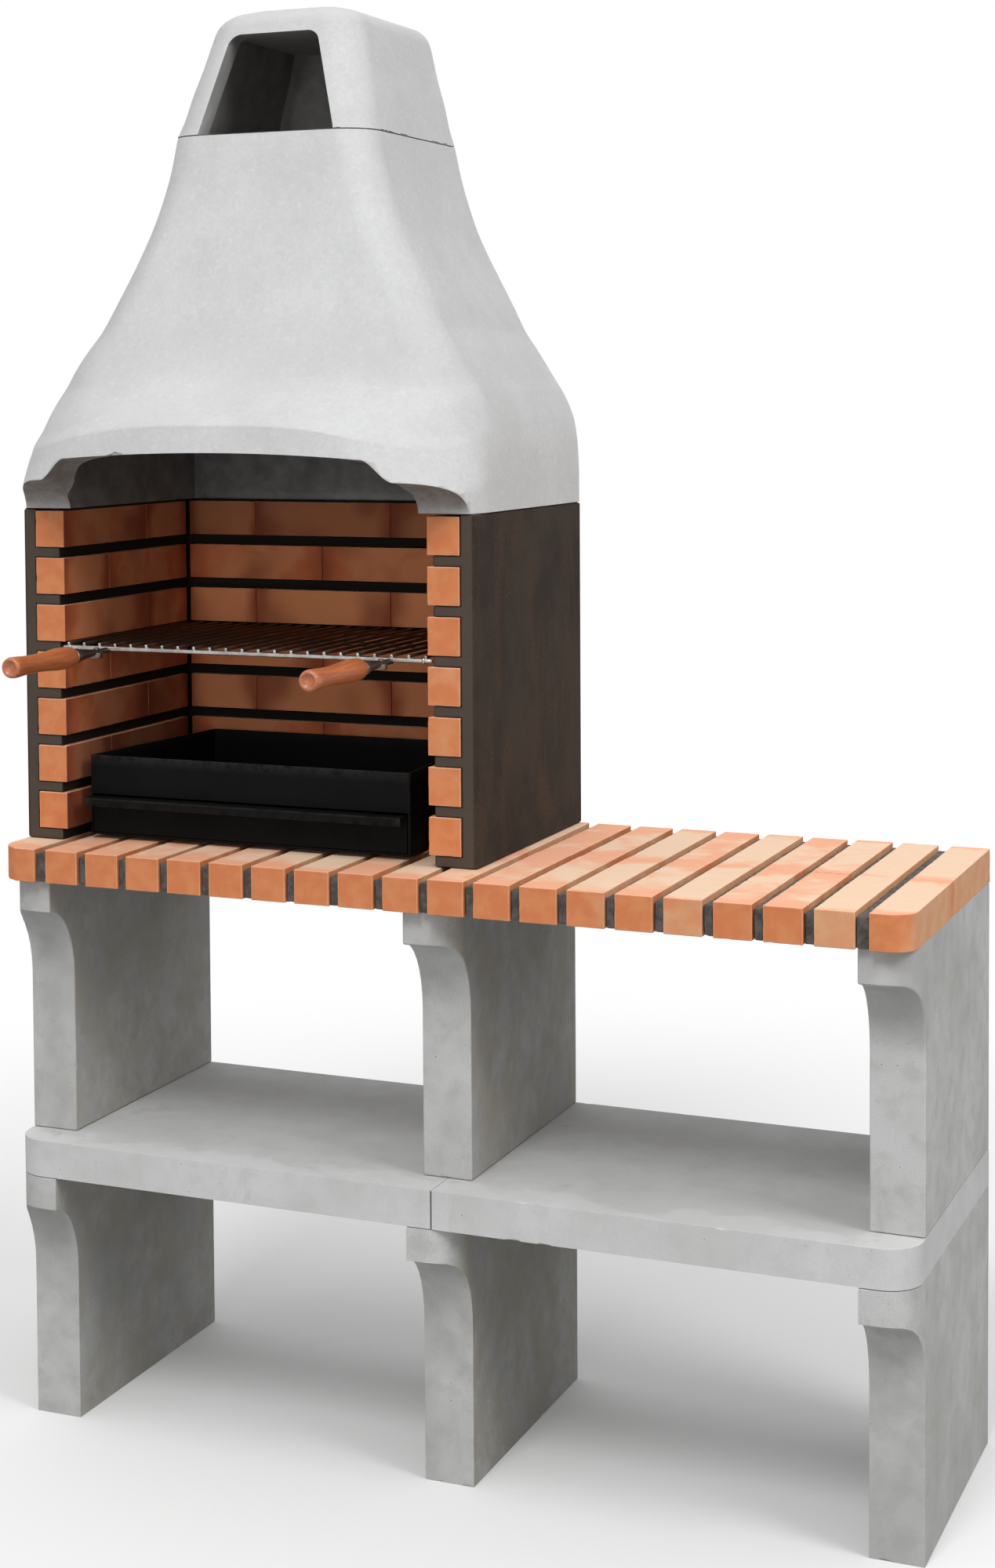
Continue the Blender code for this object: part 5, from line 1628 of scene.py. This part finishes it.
def set_camera():
    forward = Vector((
        -math.sin(camera_yaw) * math.cos(camera_pitch),
        math.cos(camera_yaw) * math.cos(camera_pitch),
        -math.sin(camera_pitch),
    ))
    right = Vector((math.cos(camera_yaw), math.sin(camera_yaw), 0))
    up = right.cross(forward)
    rolled_right = math.cos(camera_roll) * right + math.sin(camera_roll) * up
    rolled_up = math.cos(camera_roll) * up - math.sin(camera_roll) * right
    matrix = Matrix((rolled_right, rolled_up, -forward)).transposed().to_4x4()
    matrix.translation = camera_place
    data = bpy.data.cameras.new("camera")
    data.sensor_width = sensor_width
    data.lens = sensor_width * camera_focal_pixels / photo_height
    data.shift_y = -camera_drop_pixels / photo_height
    camera = bpy.data.objects.new("camera", data)
    bpy.context.scene.collection.objects.link(camera)
    camera.matrix_world = matrix
    bpy.context.scene.camera = camera


def seen_directly(tree):
    """One for rays from the camera, and for mirrored and transmitted ones; zero for light that bounces."""
    path = new_node(tree, "ShaderNodeLightPath").outputs
    total = path["Is Camera Ray"]
    for kind in ("Is Glossy Ray", "Is Transmission Ray"):
        total = new_node(tree, "ShaderNodeMath", {0: total, 1: path[kind]}, operation="MAXIMUM").outputs[0]
    return total


def set_stage():
    """A floor that is seen nearly white, keeps the contact shadow and bounces little light."""
    floor_reach = 12.0
    white_from = 1.2
    white_at = 2.6
    seen_tone = (0.80, 0.80, 0.80)
    bounced_tone = (0.30, 0.30, 0.30)
    work = bmesh.new()
    bmesh.ops.create_grid(work, x_segments=1, y_segments=1, size=floor_reach)
    floor = object_from("floor", work)
    finish = Finish("pale_floor", {"Roughness": 0.95, "Specular IOR Level": 0})
    direct = seen_directly(finish.tree)
    finish.done(finish.mix(direct, bounced_tone, seen_tone))
    distance = finish.add("ShaderNodeVectorMath", {0: finish.place}, operation="LENGTH").outputs["Value"]
    fade = finish.times(finish.between(distance, white_from, white_at), direct)
    white = finish.add("ShaderNodeEmission", {"Color": (1, 1, 1, 1), "Strength": 1.0})
    surfaces = {0: fade, 1: finish.shader.outputs[0], 2: white.outputs[0]}
    blend = finish.add("ShaderNodeMixShader", surfaces)
    feed(finish.tree, finish.tree.nodes["Material Output"].inputs["Surface"], blend.outputs[0])
    floor.data.materials.append(finish.material)


def set_sky():
    """A plain sky, brighter overhead than at the horizon, behind a white backdrop."""
    horizon = 0.11
    zenith = 0.96
    rises_from = 0.15
    rises_to = 0.80
    white = (1, 1, 1, 1)
    world = bpy.data.worlds.new("studio")
    world.use_nodes = True
    tree = world.node_tree
    place = new_node(tree, "ShaderNodeTexCoord").outputs["Generated"]
    height = new_node(tree, "ShaderNodeSeparateXYZ", {0: place}).outputs["Z"]
    inputs = {"Value": height, "From Min": rises_from, "From Max": rises_to}
    inputs.update({"To Min": horizon, "To Max": zenith})
    rise = new_node(tree, "ShaderNodeMapRange", inputs).outputs["Result"]
    sky = tree.nodes["Background"]
    for key, value in (("Color", white), ("Strength", rise)):
        feed(tree, sky.inputs[key], value)
    backdrop = new_node(tree, "ShaderNodeBackground", {"Color": white})
    surfaces = {0: seen_directly(tree), 1: sky.outputs[0], 2: backdrop.outputs[0]}
    blend = new_node(tree, "ShaderNodeMixShader", surfaces)
    feed(tree, tree.nodes["World Output"].inputs["Surface"], blend.outputs[0])
    bpy.context.scene.world = world


def add_lamp(name, place, target, size, power):
    data = bpy.data.lights.new(name, "AREA")
    data.shape = "DISK"
    data.size = size
    data.energy = power
    lamp = bpy.data.objects.new(name, data)
    bpy.context.scene.collection.objects.link(lamp)
    lamp.location = place
    lamp.rotation_mode = "QUATERNION"
    lamp.rotation_quaternion = (Vector(target) - Vector(place)).to_track_quat("-Z", "Y")


set_camera()
set_stage()
set_sky()
for lamp in lamps:
    add_lamp(*lamp)
build_worktop()
build_worktop_mortar()
build_courses()
build_cast_concrete()
build_hood()
build_cap()
build_joint_mortar()
build_grill()
build_grips()
build_pan()
build_drawer()

for subpart in frame["record"]["subparts"]:
    node = nodes[subpart["node"]]
    node.data.materials.clear()
    node.data.materials.append(finishes[subpart["material_slot"]])

bpy.context.scene.view_settings.view_transform = "Standard"
